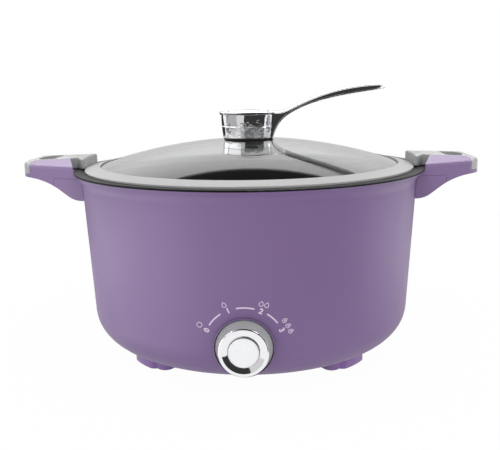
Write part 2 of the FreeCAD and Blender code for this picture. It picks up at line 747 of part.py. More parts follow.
def foot(mirror_x, mirror_y):
    """Moulded foot that follows the round lower edge of the housing above it."""
    main, lobe = foot_plan(0)
    shape = prism(main, PAD_PROUD, FOOT_TOP).fuse(prism(lobe, PAD_PROUD, FOOT_TOP)).removeSplitter()
    shape = shape.makeFillet(FOOT_EDGE_R, edges_where(shape, lambda e, m: abs(m.z - PAD_PROUD) < 1e-6))
    shape = shape.cut(envelope(0, 0))
    shape = shape.cut(prism(foot_plan(PAD_INSET)[0], 0, PAD_T + FIT))
    x, y = foot_screw_spots()[0]
    shape = shape.cut(screw_hole(x, y, 0, FOOT_TOP))
    shape = shape.cut(head_hole(x, y, 0, PAD_T + SCREW_HEAD_H + 2 * FIT))
    return quarter(shape, mirror_x, mirror_y)


def foot_pad(mirror_x, mirror_y):
    """Soft pad let into a foot; it stands a little proud of it and hides the screw."""
    return quarter(prism(foot_plan(PAD_INSET + FIT)[0], 0, PAD_T), mirror_x, mirror_y)


def foot_screw_spots():
    x, y = polar(FOOT_SCREW_PITCH_R, (FOOT_START_DEG + FOOT_CREASE_DEG) / 2)
    return [(x, y), (-x, y), (x, -y), (-x, -y)]


def foot_screws():
    return group([pan_head_screw(x, y, PAD_T + FIT, SHELL_FLOOR_Z + 3) for x, y in foot_screw_spots()])


def quarter(shape, mirror_x, mirror_y):
    """Shape of the +X +Y quarter carried to another one."""
    if mirror_x:
        shape = shape.mirror(V(0, 0, 0), V(1, 0, 0))
    if mirror_y:
        shape = shape.mirror(V(0, 0, 0), V(0, 1, 0))
    return shape


# ---------------------------------------------------------------- dial
def dial_bezel():
    """Round boss between the curved wall and the dial, recessed for the dial's skirt."""
    bezel = cylinder_y(BEZEL_R, -BEZEL_FRONT, -SWITCH_BACK, DIAL_Z)
    front = edges_where(bezel, lambda e, m: abs(m.y + BEZEL_FRONT) < 1e-6)
    bezel = bezel.makeFillet(BEZEL_WALL / 2, front)
    bezel = bezel.cut(cylinder_y(BEZEL_RECESS_R, -BEZEL_FRONT - 1, -DIAL_BACK, DIAL_Z))
    bezel = bezel.cut(envelope(FIT, 0))
    return bezel.cut(cylinder_y(BUSH_R + FIT, -BEZEL_FRONT, -SWITCH_BACK, DIAL_Z))


def rotary_switch():
    """Four-position switch behind the wall: moulded body, threaded bush, four tabs."""
    half = SWITCH_W / 2
    low = DIAL_Z - SWITCH_H / 2
    body = block(-half, half, -SWITCH_FRONT, -SWITCH_BACK, low, DIAL_Z + SWITCH_H / 2)
    middle_y = -(SWITCH_FRONT + SWITCH_BACK) / 2
    body = body.makeFillet(2, edges_where(body, lambda e, m: abs(abs(m.x) - half) < 1e-6
                                          and abs(m.y - middle_y) < 1e-6))
    body = body.fuse(cylinder_y(BUSH_R, -BUSH_FRONT, -SWITCH_FRONT, DIAL_Z))
    for x in SWITCH_TAB_XS:
        tab = block(x - 1.6, x + 1.6, -SWITCH_BACK, SWITCH_TAB - SWITCH_BACK, low + 3, low + 3.8)
        body = body.fuse(tab)
    return body.cut(cylinder_y(SHAFT_R + SHAFT_RUN, -BUSH_FRONT, -SHAFT_END, DIAL_Z))


def switch_nut():
    """Flat nut on the switch's bush, under the dial."""
    corners = [(x, DIAL_Z + z) for x, z in (polar(SWITCH_NUT_R, 60 * i) for i in range(6))]
    nut = Part.Face(outline(corners, on_xz(-DIAL_BACK))).extrude(V(0, -SWITCH_NUT_H, 0))
    return nut.cut(cylinder_y(BUSH_R, -DIAL_BACK - SWITCH_NUT_H, -DIAL_BACK, DIAL_Z))


def shaft_flat(gap):
    """Space above the flat at the shaft's outer end."""
    start = -SHAFT_FRONT - gap
    return block(-SHAFT_R, SHAFT_R, start, FLAT_L - SHAFT_FRONT, DIAL_Z + SHAFT_R / 2, DIAL_Z + SHAFT_R)


def dial_shaft():
    """Switch shaft with a flat at its outer end."""
    return cylinder_y(SHAFT_R, -SHAFT_FRONT, -SHAFT_END - CLEAR, DIAL_Z).cut(shaft_flat(1))


def faced(corners):
    """Solid of revolution about the dial's axis from (radius, distance in front) corners."""
    shape = turned(corners)
    shape.rotate(V(0, 0, 0), V(1, 0, 0), 90)
    shape.translate(V(0, 0, DIAL_Z))
    return shape


def dial_knob():
    """Conical hollow knob: beaded face, sunk ring for the cap, boss on the shaft, pointer."""
    base = DIAL_BACK + CLEAR
    boss_back = DIAL_BACK + SWITCH_NUT_H + 1.2
    front = DIAL_FRONT
    web = front - KNOB_FACE_T
    knob = faced([
        (0, boss_back),
        (SHAFT_R + 2.6, boss_back),
        (SHAFT_R + 2.6, web),
        (DIAL_FACE_R - 2.4, web),
        (DIAL_BASE_R - 2.0, base),
        (DIAL_BASE_R, base, 0.4),
        (DIAL_FACE_R, front, 0.9),
        (DIAL_FACE_R - 2.2, front, 0.5),
        (DIAL_CAP_R + FIT, front - DIAL_RING_DEPTH),
        (DIAL_CAP_R + FIT, front - DIAL_CAP_T),
        (0, front - DIAL_CAP_T),
    ])
    bore = cylinder_y(SHAFT_R, -SHAFT_FRONT, 0, DIAL_Z)
    knob = knob.cut(bore.cut(shaft_flat(0)))
    x, z = polar(DIAL_FACE_R - 0.2, POINTER_DEG)
    pointer = Part.makeCylinder(1.3, 4.0, V(x, 0.6 - front, DIAL_Z + z), V(0, 1, 0))
    pointer = pointer.makeFillet(0.5, edges_where(pointer, lambda e, m: abs(m.y + front - 0.6) < 1e-6))
    return knob.fuse(pointer)


def dial_cap():
    """Bevelled disc that stands a little proud of the knob's face."""
    low = DIAL_FRONT - DIAL_CAP_T
    front = DIAL_FRONT + DIAL_CAP_PROUD
    return faced([
        (0, low),
        (DIAL_CAP_R, low),
        (DIAL_CAP_R, front - DIAL_CAP_BEVEL, 0.3),
        (DIAL_CAP_R - DIAL_CAP_BEVEL, front, 0.3),
        (0, front),
    ])


# ---------------------------------------------------------------- inlet
def plate_xz(width, height, y, corner_low, corner_high, depth):
    """Upright plate about the inlet's axis with its face at y, its corners rounded."""
    w = width / 2
    h = height / 2
    return Part.Face(outline([
        (-w, INLET_Z - h, corner_low),
        (w, INLET_Z - h, corner_low),
        (w, INLET_Z + h, corner_high),
        (-w, INLET_Z + h, corner_high),
    ], on_xz(y))).extrude(V(0, -depth, 0))


def inlet_housing():
    """Mains inlet at the back: flange on the wall, box through it, socket, two snaps."""
    flange = plate_xz(INLET_W, INLET_H, INLET_FACE, 4, 4, INLET_BODY_DEPTH * 0.8)
    flange = flange.cut(envelope(FIT, 0))
    box = plate_xz(INLET_BODY_W, INLET_BODY_H, INLET_FACE - 1, 1, 1, INLET_BODY_DEPTH - 1)
    shape = flange.fuse(box)
    for side in (-1, 1):
        shape = shape.fuse(snap(side))
    shape = shape.cut(plate_xz(SOCKET_W, SOCKET_H, INLET_FACE, 2, 5.5, SOCKET_DEPTH))
    return shape.removeSplitter().cut(pins(FIT / 2))


def snap(side):
    """Wedge on one side of the inlet's box that holds it behind the wall."""
    x = side * INLET_BODY_W / 2
    catch = math.sqrt((wall_r(INLET_Z) - SHELL_T) ** 2 - (INLET_BODY_W / 2 + SNAP_REACH) ** 2) - 1
    wedge = Part.Face(outline([
        (x - side, catch),
        (x + side * SNAP_REACH, catch),
        (x, catch - SNAP_L),
        (x - side, catch - SNAP_L),
    ], on_xy(INLET_Z - SNAP_W / 2)))
    return wedge.extrude(V(0, 0, SNAP_W))


def pins(gap):
    """The inlet's three flat pins, grown by a gap."""
    back = INLET_BACK - PIN_TAB
    tip = INLET_FACE - PIN_DEEP
    w = PIN_W / 2 + gap
    h = PIN_H / 2 + gap
    spots = [(-PIN_SPREAD, INLET_Z - 2), (0, INLET_Z + 2), (PIN_SPREAD, INLET_Z - 2)]
    return group([block(x - w, x + w, back, tip, z - h, z + h) for x, z in spots])


# ---------------------------------------------------------------- handles, right side
def handle_top_z(x):
    """Height of the handle's flat top, which falls gently outwards."""
    return RIM_Z + HANDLE_TOP - HANDLE_TOP_FALL * (x - HANDLE_ROOT_X)


def across(corners):
    """Side view of (x, z) corners carried across the whole width of a handle."""
    width = HANDLE_W + 2
    return Part.Face(outline(corners, on_xz(-width))).extrude(V(0, 2 * width, 0))


def handle_body():
    """Whole right handle before it is split: plan, S-curved side view, bevels, finger slot."""
    plan = both_ways([
        (HANDLE_ROOT_X, -HANDLE_W),
        (RIM_R, -HANDLE_W, 40),
        (HANDLE_END_X, -HANDLE_END_W, HANDLE_END_R),
    ])
    root_x = HANDLE_ROOT_X - 1
    end_x = HANDLE_END_X + 3
    under_z = RIM_Z - HANDLE_UNDER
    low_x = NECK_R + UNDER_LOW
    rise_x = low_x + (under_z - HANDLE_DEEP_Z) / math.tan(math.radians(UNDER_SLOPE_DEG))
    side = across([
        (root_x, HANDLE_DEEP_Z),
        (low_x, HANDLE_DEEP_Z, UNDER_LOW_BEND),
        (rise_x, under_z, UNDER_HIGH_BEND),
        (end_x, under_z),
        (end_x, handle_top_z(end_x)),
        (root_x, handle_top_z(root_x)),
    ])
    body = prism(plan, HANDLE_DEEP_Z - 1, RIM_Z + HANDLE_TOP + 1).common(side)
    for sign in (-1, 1):
        body = body.cut(side_bevel(sign, root_x))
    bevel_x = HANDLE_END_X - END_BEVEL_L
    body = body.cut(across([
        (bevel_x, handle_top_z(bevel_x)),
        (end_x, handle_top_z(bevel_x) - END_BEVEL_H * (end_x - bevel_x) / END_BEVEL_L),
        (end_x, handle_top_z(bevel_x) + END_BEVEL_L),
        (bevel_x, handle_top_z(bevel_x) + END_BEVEL_L),
    ]))

    def shoulder(edge, middle):
        upright = abs(edge.tangentAt(edge.FirstParameter).z) > 0.9
        below_top = RIM_Z + 2 < middle.z < handle_top_z(middle.x) - 0.5
        return not upright and below_top and middle.x > root_x + 2
    body = body.makeFillet(SHOULDER_R, edges_where(body, shoulder))
    return body.cut(finger_slot())


def side_bevel(sign, start_x):
    """Wedge off one long edge of the top; its foot follows the fall of the top."""
    reach = HANDLE_W
    top = handle_top_z(start_x)
    low = top - reach * math.tan(math.radians(BEVEL_DEG))
    wedge = Part.Face(outline([
        (sign * HANDLE_TOP_W, top),
        (sign * (HANDLE_TOP_W + reach), low),
        (sign * (HANDLE_TOP_W + reach), top + reach),
        (sign * HANDLE_TOP_W, top + reach),
    ], on_yz(start_x)))
    length = HANDLE_END_X + 5 - start_x
    return wedge.extrude(V(length, 0, -length * HANDLE_TOP_FALL))


def finger_slot():
    """D-shaped slot: straight towards the pot, bowed towards the end."""
    half = [(SLOT_IN_X, -SLOT_W + 1, 4), (SLOT_OUT_X - SLOT_BOW, -SLOT_W, 7)]
    plan = both_ways(half, [(SLOT_OUT_X + SLOT_BOW * 0.3, 0, 24)])
    return prism(plan, HANDLE_DEEP_Z, RIM_Z + HANDLE_TOP + 5)


def cover_plan(gap):
    """Plan of the grey cover: flared tongue, waist, strip beside the slot, whole end."""
    far = HANDLE_END_X + 8
    flare = (HEAD_W - WAIST_W) / (HEAD_L - WAIST_IN)
    return both_ways([
        (LID_R - 12, -HEAD_W - gap - flare * (RIM_R - HEAD_L - LID_R + 12)),
        (RIM_R - WAIST_IN, -WAIST_W - gap),
        (RIM_R + COLLAR - gap, -HANDLE_TOP_W - gap),
        (CAP_X - gap, -HANDLE_TOP_W - gap, 7),
        (CAP_X - gap, -HANDLE_W - 8),
        (far, -HANDLE_W - 8),
    ])


def cover_space(gap):
    """Space that the grey cover fills: its plan above a floor that drops at the end."""
    high = RIM_Z + HANDLE_TOP + 5
    space = prism(cover_plan(gap), RIM_Z + TONGUE_LIFT - gap, high)
    width = HANDLE_W + 5
    return space.fuse(block(CAP_X - gap, HANDLE_END_X + 8, -width, width, RIM_Z - CAP_DROP - gap, high))


def handle_cover():
    """Grey cover: tongue over the flange, waist, rim of the slot and wrapped end."""
    cover = handle_body().common(cover_space(0))
    cover = cover.cut(cylinder_z(LID_R + HEAD_GAP, 0, 2 * RIM_Z))

    def front_corner(edge, middle):
        return edge.BoundBox.ZLength > 4 and middle.x < LID_R and abs(middle.y) > HEAD_W - 1
    cover = cover.makeFillet(HEAD_CORNER_R, edges_where(cover, front_corner))

    def tongue_top(edge, middle):
        upright = edge.BoundBox.ZLength > 4.5
        fold = abs(abs(middle.y) - HANDLE_TOP_W) < 0.01
        return middle.z > RIM_Z + 6.5 and middle.x < RIM_R - 2 and not upright and not fold
    return cover.makeFillet(HEAD_EDGE_R, edges_where(cover, tongue_top))


def handle_grip():
    """Upper purple half: cut back round the tongue, rounded where it meets the flange."""
    part_z = RIM_Z - PARTING
    width = HANDLE_W + 5
    high = RIM_Z + HANDLE_TOP + 5
    upper = block(HANDLE_ROOT_X - 5, HANDLE_END_X + 5, -width, width, part_z, high)
    tail = block(BRACKET_END_X + FIT, HANDLE_END_X + 5, -width, width, HANDLE_DEEP_Z, part_z + 1)
    grip = handle_body().common(upper.fuse(tail))
    grip = grip.cut(prism(both_ways([
        (HANDLE_ROOT_X - 5, -HANDLE_W - 1),
        (RIM_R - POCKET_IN, -HANDLE_W - 1),
        (RIM_R + POCKET_OUT, -HANDLE_TOP_W, 3),
    ]), RIM_Z + TONGUE_LIFT - 1, high))
    grip = grip.cut(cover_space(FIT))
    for x, y in grip_screw_spots():
        grip = grip.cut(screw_hole(x, y, part_z - 1, GRIP_SCREW_TOP + FIT))
    return grip.cut(envelope(FIT, FLANGE_BEAD_T + FIT))


def handle_bracket():
    """Lower purple half, screwed to the wall from inside; its foot hugs the housing."""
    part_z = RIM_Z - PARTING - FIT
    width = HANDLE_W + 5
    lower = block(HANDLE_ROOT_X - 5, BRACKET_END_X, -width, width, HANDLE_DEEP_Z - 5, part_z)
    bracket = handle_body().common(lower)
    bracket = bracket.cut(envelope(FIT, 0))
    for screw in wall_screw_spots():
        bracket = bracket.cut(wall_screw(screw, WALL_SCREW_R))
    for x, y in grip_screw_spots():
        bracket = bracket.cut(screw_hole(x, y, HANDLE_DEEP_Z, part_z + 1))
        bracket = bracket.cut(head_hole(x, y, HANDLE_DEEP_Z - 1, RIM_Z - GRIP_SCREW_SEAT))
    return bracket


def wall_screw_spots():
    """(side, y) of each screw through the wall; side is 1 on the right, -1 on the left."""
    return [(side, y) for side in (1, -1) for y in (-WALL_SCREW_Y, WALL_SCREW_Y)]


def wall_screw(spot, radius, head_radius=0):
    """Screw along X through the wall into a bracket, its head inside the housing."""
    side, y = spot
    z = RIM_Z - WALL_SCREW_DROP
    inner = math.sqrt((NECK_R - SHELL_T - 1.4) ** 2 - y * y)
    shank = Part.makeCylinder(radius, WALL_SCREW_L, V(side * inner, y, z), V(side, 0, 0))
    if head_radius == 0:
        return shank
    head = Part.makeCylinder(head_radius, WALL_SCREW_HEAD_H, V(side * inner, y, z), V(-side, 0, 0))
    return shank.fuse(head)


def handle_wall_screws():
    return group([wall_screw(spot, WALL_SCREW_R, WALL_SCREW_HEAD_R) for spot in wall_screw_spots()])


def grip_screw_spots():
    return [(GRIP_SCREW_X, -GRIP_SCREW_Y), (GRIP_SCREW_X, GRIP_SCREW_Y)]


def grip_screws():
    """Screws up through the brackets into the grips, both sides."""
    low = RIM_Z - GRIP_SCREW_SEAT - SCREW_HEAD_H
    right = [pan_head_screw(x, y, low, GRIP_SCREW_TOP) for x, y in grip_screw_spots()]
    return group(right + [left(screw) for screw in right])


def left(shape):
    return shape.mirror(V(0, 0, 0), V(1, 0, 0))


# ---------------------------------------------------------------- lid
def dome_z(radius, drop=0):
    """Height of the dome's outer face, or of a face parallel to it, at a radius."""
    return DOME_TOP_Z - DOME_R + math.sqrt((DOME_R - drop) ** 2 - radius ** 2)


def glass_solid(gap, hole):
    """Domed glass of even thickness, grown by a gap."""
    edge = GLASS_EDGE_R + gap

    def dome_arc(radii, drop):
        return Part.Arc(*[V(radius, 0, dome_z(radius, drop)) for radius in radii])
    outer = dome_arc((hole, edge / 2, edge), -gap)
    inner = dome_arc((edge, edge / 2, hole), GLASS_T + gap)
    edge_side = Part.makeLine(outer.EndPoint, inner.StartPoint)
    hole_side = Part.makeLine(inner.EndPoint, outer.StartPoint)
    face = Part.Face(Part.Wire([outer.toShape(), edge_side, inner.toShape(), hole_side]))
    return face.revolve(V(0, 0, 0), V(0, 0, 1), 360)


def lid_glass():
    glass = glass_solid(0, GLASS_HOLE_R)
    rim = edges_where(glass, lambda e, m: math.hypot(m.x, m.y) > GLASS_EDGE_R - 0.1
                      and e.Length > GLASS_EDGE_R)
    glass = glass.makeFillet(GLASS_EDGE_ROUND, rim)
    return glass.cut(on_dome(cylinder_z(VENT_HOLE_R, -3 * GLASS_T, 3 * GLASS_T)))


def on_dome(shape):
    """Shape made about the origin, carried to the steam vent and tilted square to the glass."""
    shape.rotate(V(0, 0, 0), V(0, 1, 0), math.degrees(math.asin(VENT_PITCH_R / DOME_R)))
    shape.rotate(V(0, 0, 0), V(0, 0, 1), VENT_DEG)
    shape.translate(V(*polar(VENT_PITCH_R, VENT_DEG), dome_z(VENT_PITCH_R)))
    return shape


def largest(shape):
    return max(shape.Solids, key=lambda solid: solid.Volume)


def lid_band():
    """Broad sloped band that grips the glass, with a thin edge and a skirt in the pan."""
    edge_z = LID_Z + LID_EDGE_T
    lip_r = BAND_IN_R + BAND_LIP
    band = turned([
        (BAND_IN_R, edge_z + BAND_RISE, 0.5),
        (LID_R, edge_z, 0.5),
        (LID_R, LID_Z),
        (SKIRT_R, LID_Z, 0.5),
        (SKIRT_R - 0.6, LID_Z - SKIRT_H, 1.0),
        (lip_r, LID_Z - SKIRT_H, 0.8),
        (lip_r, LID_Z - BAND_UNDER),
        (BAND_IN_R, LID_Z - BAND_UNDER),
    ])
    return largest(band.cut(glass_solid(FIT / 2, 1.0)))


def steam_vent():
    """Eyelet rolled over both faces of the glass."""
    eyelet = Part.Face(outline([
        (VENT_HOLE_R - 1.4, -GLASS_T - 1.0),
        (VENT_HOLE_R + 2.2, -GLASS_T - 1.0, 0.4),
        (VENT_HOLE_R + 2.2, -GLASS_T - FIT),
        (VENT_HOLE_R - FIT, -GLASS_T - FIT),
        (VENT_HOLE_R - FIT, FIT / 2),
        (VENT_HOLE_R + 2.2, FIT / 2),
        (VENT_HOLE_R + 2.2, 1.1, 0.5),
        (VENT_HOLE_R - 1.4, 1.1, 0.4),
    ], on_xz(0))).revolve(V(0, 0, 0), V(0, 0, 1), 360)
    return on_dome(eyelet)


def knob_gasket():
    """Dark gasket between the knob and the dome."""
    disc = cylinder_z(KNOB_BASE_R - 0.6, dome_z(KNOB_BASE_R), KNOB_Z)
    disc = disc.cut(glass_solid(FIT / 2, 1.0))
    return disc.cut(cylinder_z(GLASS_HOLE_R, DOME_TOP_Z - 1, KNOB_Z))


def arm():
    """Long curved arm: strap with soft edges and a round tip, level with the knob's top at its root."""
    half = ARM_W / 2
    low = -KNOB_H
    root = KNOB_TOP_R - 10
    leave = KNOB_TOP_R + 3
    throat = KNOB_TOP_R + 8
    turn = 7
    rise = ARM_TIP_RISE

    def curve(poles):
        """Bezier curve through the side view; its first and last poles are ends."""
        bezier = Part.BezierCurve()
        bezier.setPoles([V(x, -ARM_W, KNOB_TOP_Z + z) for x, z in poles])
        return bezier.toShape()

    def line(a, b):
        return Part.makeLine(*[V(x, -ARM_W, KNOB_TOP_Z + z) for x, z in (a, b)])
    tip = (ARM_TIP_X, rise)
    tip_low = (ARM_TIP_X, rise - ARM_T)
    fork = (throat, -3.3)
    foot = (KNOB_BASE_R - 0.5, low)
    inside = (root, -1.2)
    span = ARM_TIP_X - leave
    under = ARM_TIP_X - throat
    upper = [
        curve([inside, (root + 6, -0.3), (leave - 3, -0.3), (leave, 0.0)]),
        curve([(leave, 0.0), (leave + 0.16 * span, 0.22 * rise), (leave + 0.42 * span, 0.98 * rise), tip]),
    ]
    knee = (throat + 0.2 * under, 0.43 * tip_low[1])
    fall = (knee[1] - fork[1]) / (knee[0] - fork[0])
    lower = curve([tip_low, (ARM_TIP_X - 0.52 * under, 0.72 * tip_low[1]), knee, fork])
    web = curve([fork, (throat - turn, fork[1] - turn * fall), (KNOB_BASE_R + 1.5, low + 8.0), foot])
    close = [line(foot, (root - 4, low)), line((root - 4, low), inside), line(tip, tip_low)]
    wire = Part.Wire(Part.__sortEdges__(upper + [lower, web] + close))
    strap = Part.Face(wire).extrude(V(0, 2 * ARM_W, 0))
    middle_x = (root + ARM_TIP_X) / 2
    splay = math.atan(ARM_WAIST / (ARM_TIP_X - middle_x))
    plan = prism(both_ways([
        (root - 8, -half - 1),
        (middle_x, -half + ARM_WAIST, 60),
        (ARM_TIP_X, -half, half * math.tan(math.pi / 4 - splay / 2)),
    ]), KNOB_Z - 1, KNOB_TOP_Z + ARM_TIP_RISE + 1)
    strap = strap.common(plan)

    def long_edge(edge, middle):
        return abs(middle.y) > half / 2 and not isinstance(edge.Curve, Part.Line)
    return strap.makeFillet(ARM_EDGE_R, edges_where(strap, long_edge))


def knob_body():
    """Chromed knob, waisted under a crease, cast in one with its arm."""
    crease = KNOB_Z + KNOB_CREASE_H
    crease_r = KNOB_BASE_R + KNOB_CREASE_OUT
    ring = KNOB_TOP_Z - 0.9
    knob = turned([
        (LID_SCREW_R, KNOB_Z),
        (KNOB_BASE_R, KNOB_Z, 0.8),
        (crease_r, crease - 0.5),
        (crease_r - 0.4, crease),
        (crease_r + 0.2, crease + 0.5),
        (KNOB_TOP_R - KNOB_LIP, KNOB_TOP_Z - KNOB_LIP_H, 2.5),
        (KNOB_TOP_R, KNOB_TOP_Z, 0.7),
        (KNOB_TOP_R - 3.0, KNOB_TOP_Z, 0.8),
        (KNOB_TOP_R - 4.0, ring, 0.8),
        (CAP_R + FIT, ring),
        (CAP_R + FIT, KNOB_WELL_Z),
        (LID_SCREW_R, KNOB_WELL_Z),
    ])
    core = cylinder_z(LID_SCREW_R + 1, KNOB_Z + SCREW_BITE, KNOB_WELL_Z)
    strap = arm().cut(cylinder_z(KNOB_TOP_R - 4.5, KNOB_Z - 1, KNOB_TOP_Z + 1))
    return knob.fuse([core, strap]).removeSplitter()


def knob_cap():
    """Low crowned cap that closes the knob's top."""
    high = KNOB_TOP_Z + CAP_PROUD
    return turned([(0, KNOB_WELL_Z), (CAP_R, KNOB_WELL_Z), (CAP_R, high - 1.0, 1.4), (0, high)])


def lid_inner_gasket():
    """Soft washer between the glass and the cup washer."""
    disc = cylinder_z(LID_GASKET_R, WASHER_Z, DOME_TOP_Z)
    disc = disc.cut(glass_solid(FIT / 2, GLASS_HOLE_R - 1))
    disc = disc.cut(cylinder_z(GLASS_HOLE_R, GLASS_UNDER_Z - 0.5, DOME_TOP_Z))
    disc = disc.cut(cylinder_z(LID_SCREW_R + FIT, WASHER_Z, DOME_TOP_Z))
    return min(disc.Solids, key=lambda solid: solid.BoundBox.ZMin)


def lid_washer():
    """Cup washer under the soft one."""
    low = WASHER_Z - WASHER_T
    bore = LID_SCREW_R + FIT
    return turned([(bore, low), (WASHER_R, low, 0.8), (WASHER_R, WASHER_Z), (bore, WASHER_Z)])


def lid_screw():
    """Slotted screw from under the glass into the knob."""
    seat = WASHER_Z - WASHER_T
    low = seat - 2.4
    head = turned([(0, low), (LID_SCREW_HEAD_R, low, 1.4), (LID_SCREW_HEAD_R, seat), (0, seat)])
    shank = cylinder_z(LID_SCREW_R, seat, KNOB_Z + SCREW_BITE - 0.5)
    slot = block(-LID_SCREW_HEAD_R - 1, LID_SCREW_HEAD_R + 1, -0.5, 0.5, low - 1, low + 0.9)
    return head.fuse(shank).cut(slot)


# ---------------------------------------------------------------- leads
def leads():
    """Insulated leads from the inlet to the switch and the element."""
    under = SHIELD_Z - 5.0
    tab_y = INLET_BACK - PIN_TAB - FIT
    drop_y = SHIELD_R + 2 * LEAD_R + 1.5
    switch_y = SWITCH_TAB - SWITCH_BACK + FIT
    switch_z = DIAL_Z - SWITCH_H / 2 + 3.4
    pin_z = INLET_Z - 2
    (left_x, end_y), (right_x, _) = sorted(element_feet())
    end_z = PLATE_UNDER_Z - ELEMENT_DROP - FIT
    front_y = 2 - drop_y
    outer_tab = SWITCH_TAB_XS[-1]
    live = [
        (-PIN_SPREAD, tab_y, pin_z),
        (-PIN_SPREAD, drop_y, pin_z),
        (-PIN_SPREAD, drop_y, under),
        (left_x - 19, end_y - 10, under),
        (left_x - 19, LEAD_TURN_Y, under),
        (-outer_tab, front_y, under),
        (-outer_tab, front_y, switch_z),
        (-outer_tab, switch_y, switch_z),
    ]
    switched = [
        (outer_tab, switch_y, switch_z),
        (outer_tab, front_y, switch_z),
        (outer_tab, front_y, under),
        (16, LEAD_TURN_Y, under),
        (-16, 10, under),
        (left_x, end_y - 12, under),
        (left_x, end_y, under),
        (left_x, end_y, end_z),
    ]
    neutral = [
        (PIN_SPREAD, tab_y, pin_z),
        (PIN_SPREAD, drop_y, pin_z),
        (PIN_SPREAD, drop_y, under),
        (right_x, end_y + 8, under),
        (right_x, end_y, under),
        (right_x, end_y, end_z),
    ]
    return group([tube(route, LEAD_R, LEAD_BEND) for route in (live, switched, neutral)])


# ---------------------------------------------------------------- build
def main():
    os.makedirs("parts", exist_ok=True)
    save("outer_shell", outer_shell())
    save("inner_pan", inner_pan())
    save("heater_plate", heater_plate())
    save("heating_element", heating_element())
    save("heat_shield", heat_shield())
    save("pan_studs", pan_studs())
    save("upper_sleeves", sleeves(SHIELD_Z + SHIELD_T, RIDGE_Z))
    save("lower_sleeves", sleeves(RING_TOP_Z, SHIELD_Z))
    save("support_ring", support_ring())
    save("pan_nuts", pan_nuts())
    save("limit_thermostat", limit_thermostat())
    save("thermal_fuse", thermal_fuse())
    save("base_cover", base_cover())
    save("base_screws", base_screws())
    quarters = {"front_left": (True, True), "front_right": (False, True),
                "rear_left": (True, False), "rear_right": (False, False)}
    for name, (mirror_x, mirror_y) in quarters.items():
        save("foot_" + name, foot(mirror_x, mirror_y))
    save("foot_pads", group([foot_pad(*flags) for flags in quarters.values()]))
    save("foot_screws", foot_screws())
    save("dial_bezel", dial_bezel())
    save("rotary_switch", rotary_switch())
    save("switch_nut", switch_nut())
    save("dial_shaft", dial_shaft())
    save("dial_knob", dial_knob())
    save("dial_cap", dial_cap())
    save("inlet_housing", inlet_housing())
    save("inlet_pins", pins(0))
    save("leads", leads())
    for name, make in (("bracket", handle_bracket), ("grip", handle_grip), ("cover", handle_cover)):
        shape = make()
        save("handle_" + name + "_right", shape)
        save("handle_" + name + "_left", left(shape))
    save("handle_wall_screws", handle_wall_screws())
    save("handle_grip_screws", grip_screws())
    save("lid_glass", lid_glass())
    save("lid_band", lid_band())
    save("steam_vent", steam_vent())
    save("knob_gasket", knob_gasket())
    save("knob_body", knob_body())
    save("knob_cap", knob_cap())
    save("lid_inner_gasket", lid_inner_gasket())
    save("lid_washer", lid_washer())
    save("lid_screw", lid_screw())


main()
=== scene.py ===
# %% [markdown]
# # Electric hot pot with a lift-off glass lid
#
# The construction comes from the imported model: every rigid piece is already there, at its real size.
# This file gives those pieces their finishes, prints the dial's marks on the curved wall, and sets up
# the floor, the light and the camera. Each step is a short cell, so it can be run and looked at alone.

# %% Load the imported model
import json
import math

import bmesh
import bpy
import numpy as np
from mathutils import Matrix, Vector


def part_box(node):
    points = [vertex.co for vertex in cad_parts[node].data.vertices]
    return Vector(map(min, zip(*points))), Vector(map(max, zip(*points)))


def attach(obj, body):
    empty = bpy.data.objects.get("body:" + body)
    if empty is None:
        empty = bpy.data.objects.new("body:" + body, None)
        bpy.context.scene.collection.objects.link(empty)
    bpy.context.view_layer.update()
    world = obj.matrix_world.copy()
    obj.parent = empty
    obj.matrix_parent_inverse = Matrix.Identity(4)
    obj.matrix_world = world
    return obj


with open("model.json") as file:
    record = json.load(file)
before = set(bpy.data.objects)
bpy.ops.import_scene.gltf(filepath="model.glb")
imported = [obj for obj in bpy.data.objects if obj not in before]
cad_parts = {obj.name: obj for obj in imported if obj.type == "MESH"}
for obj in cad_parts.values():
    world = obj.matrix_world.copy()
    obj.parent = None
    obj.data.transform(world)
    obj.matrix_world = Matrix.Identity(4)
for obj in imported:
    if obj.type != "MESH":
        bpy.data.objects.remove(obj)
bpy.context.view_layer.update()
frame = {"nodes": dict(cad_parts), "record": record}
nodes = frame["nodes"]
MM = 0.001

# %% [markdown]
# ## Camera
#
# A camera is an empty frame with three axes of its own: right, up and back. It could be aimed with a
# tracking constraint, but a matrix of three plain turns says exactly how it stands: turned about the
# pot's axis, tipped down, and leaning by less than a degree.

# %% Place the camera
CAMERA_REACH = 0.6002
CAMERA_ABOVE_RIM = 0.0693
CAMERA_YAW = math.radians(2.2)
CAMERA_PITCH = math.radians(11.476)
CAMERA_LEAN = -0.01421
CAMERA_LENS = 49.17
SENSOR_WIDTH = 36

rim_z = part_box("outer_shell")[1].z
camera = bpy.data.objects.new("camera", bpy.data.cameras.new("camera"))
bpy.context.scene.collection.objects.link(camera)
camera.data.sensor_width = SENSOR_WIDTH
camera.data.lens = CAMERA_LENS
turn = Matrix.Rotation(CAMERA_YAW, 4, "Z")
tip = Matrix.Rotation(math.pi / 2 - CAMERA_PITCH, 4, "X")
lean = Matrix.Rotation(CAMERA_LEAN, 4, "Z")
stand = Matrix.Translation(turn @ Vector((0, -CAMERA_REACH, rim_z + CAMERA_ABOVE_RIM)))
camera.matrix_world = stand @ turn @ tip @ lean
bpy.context.scene.camera = camera
print("camera at", [round(v, 4) for v in camera.matrix_world.translation])

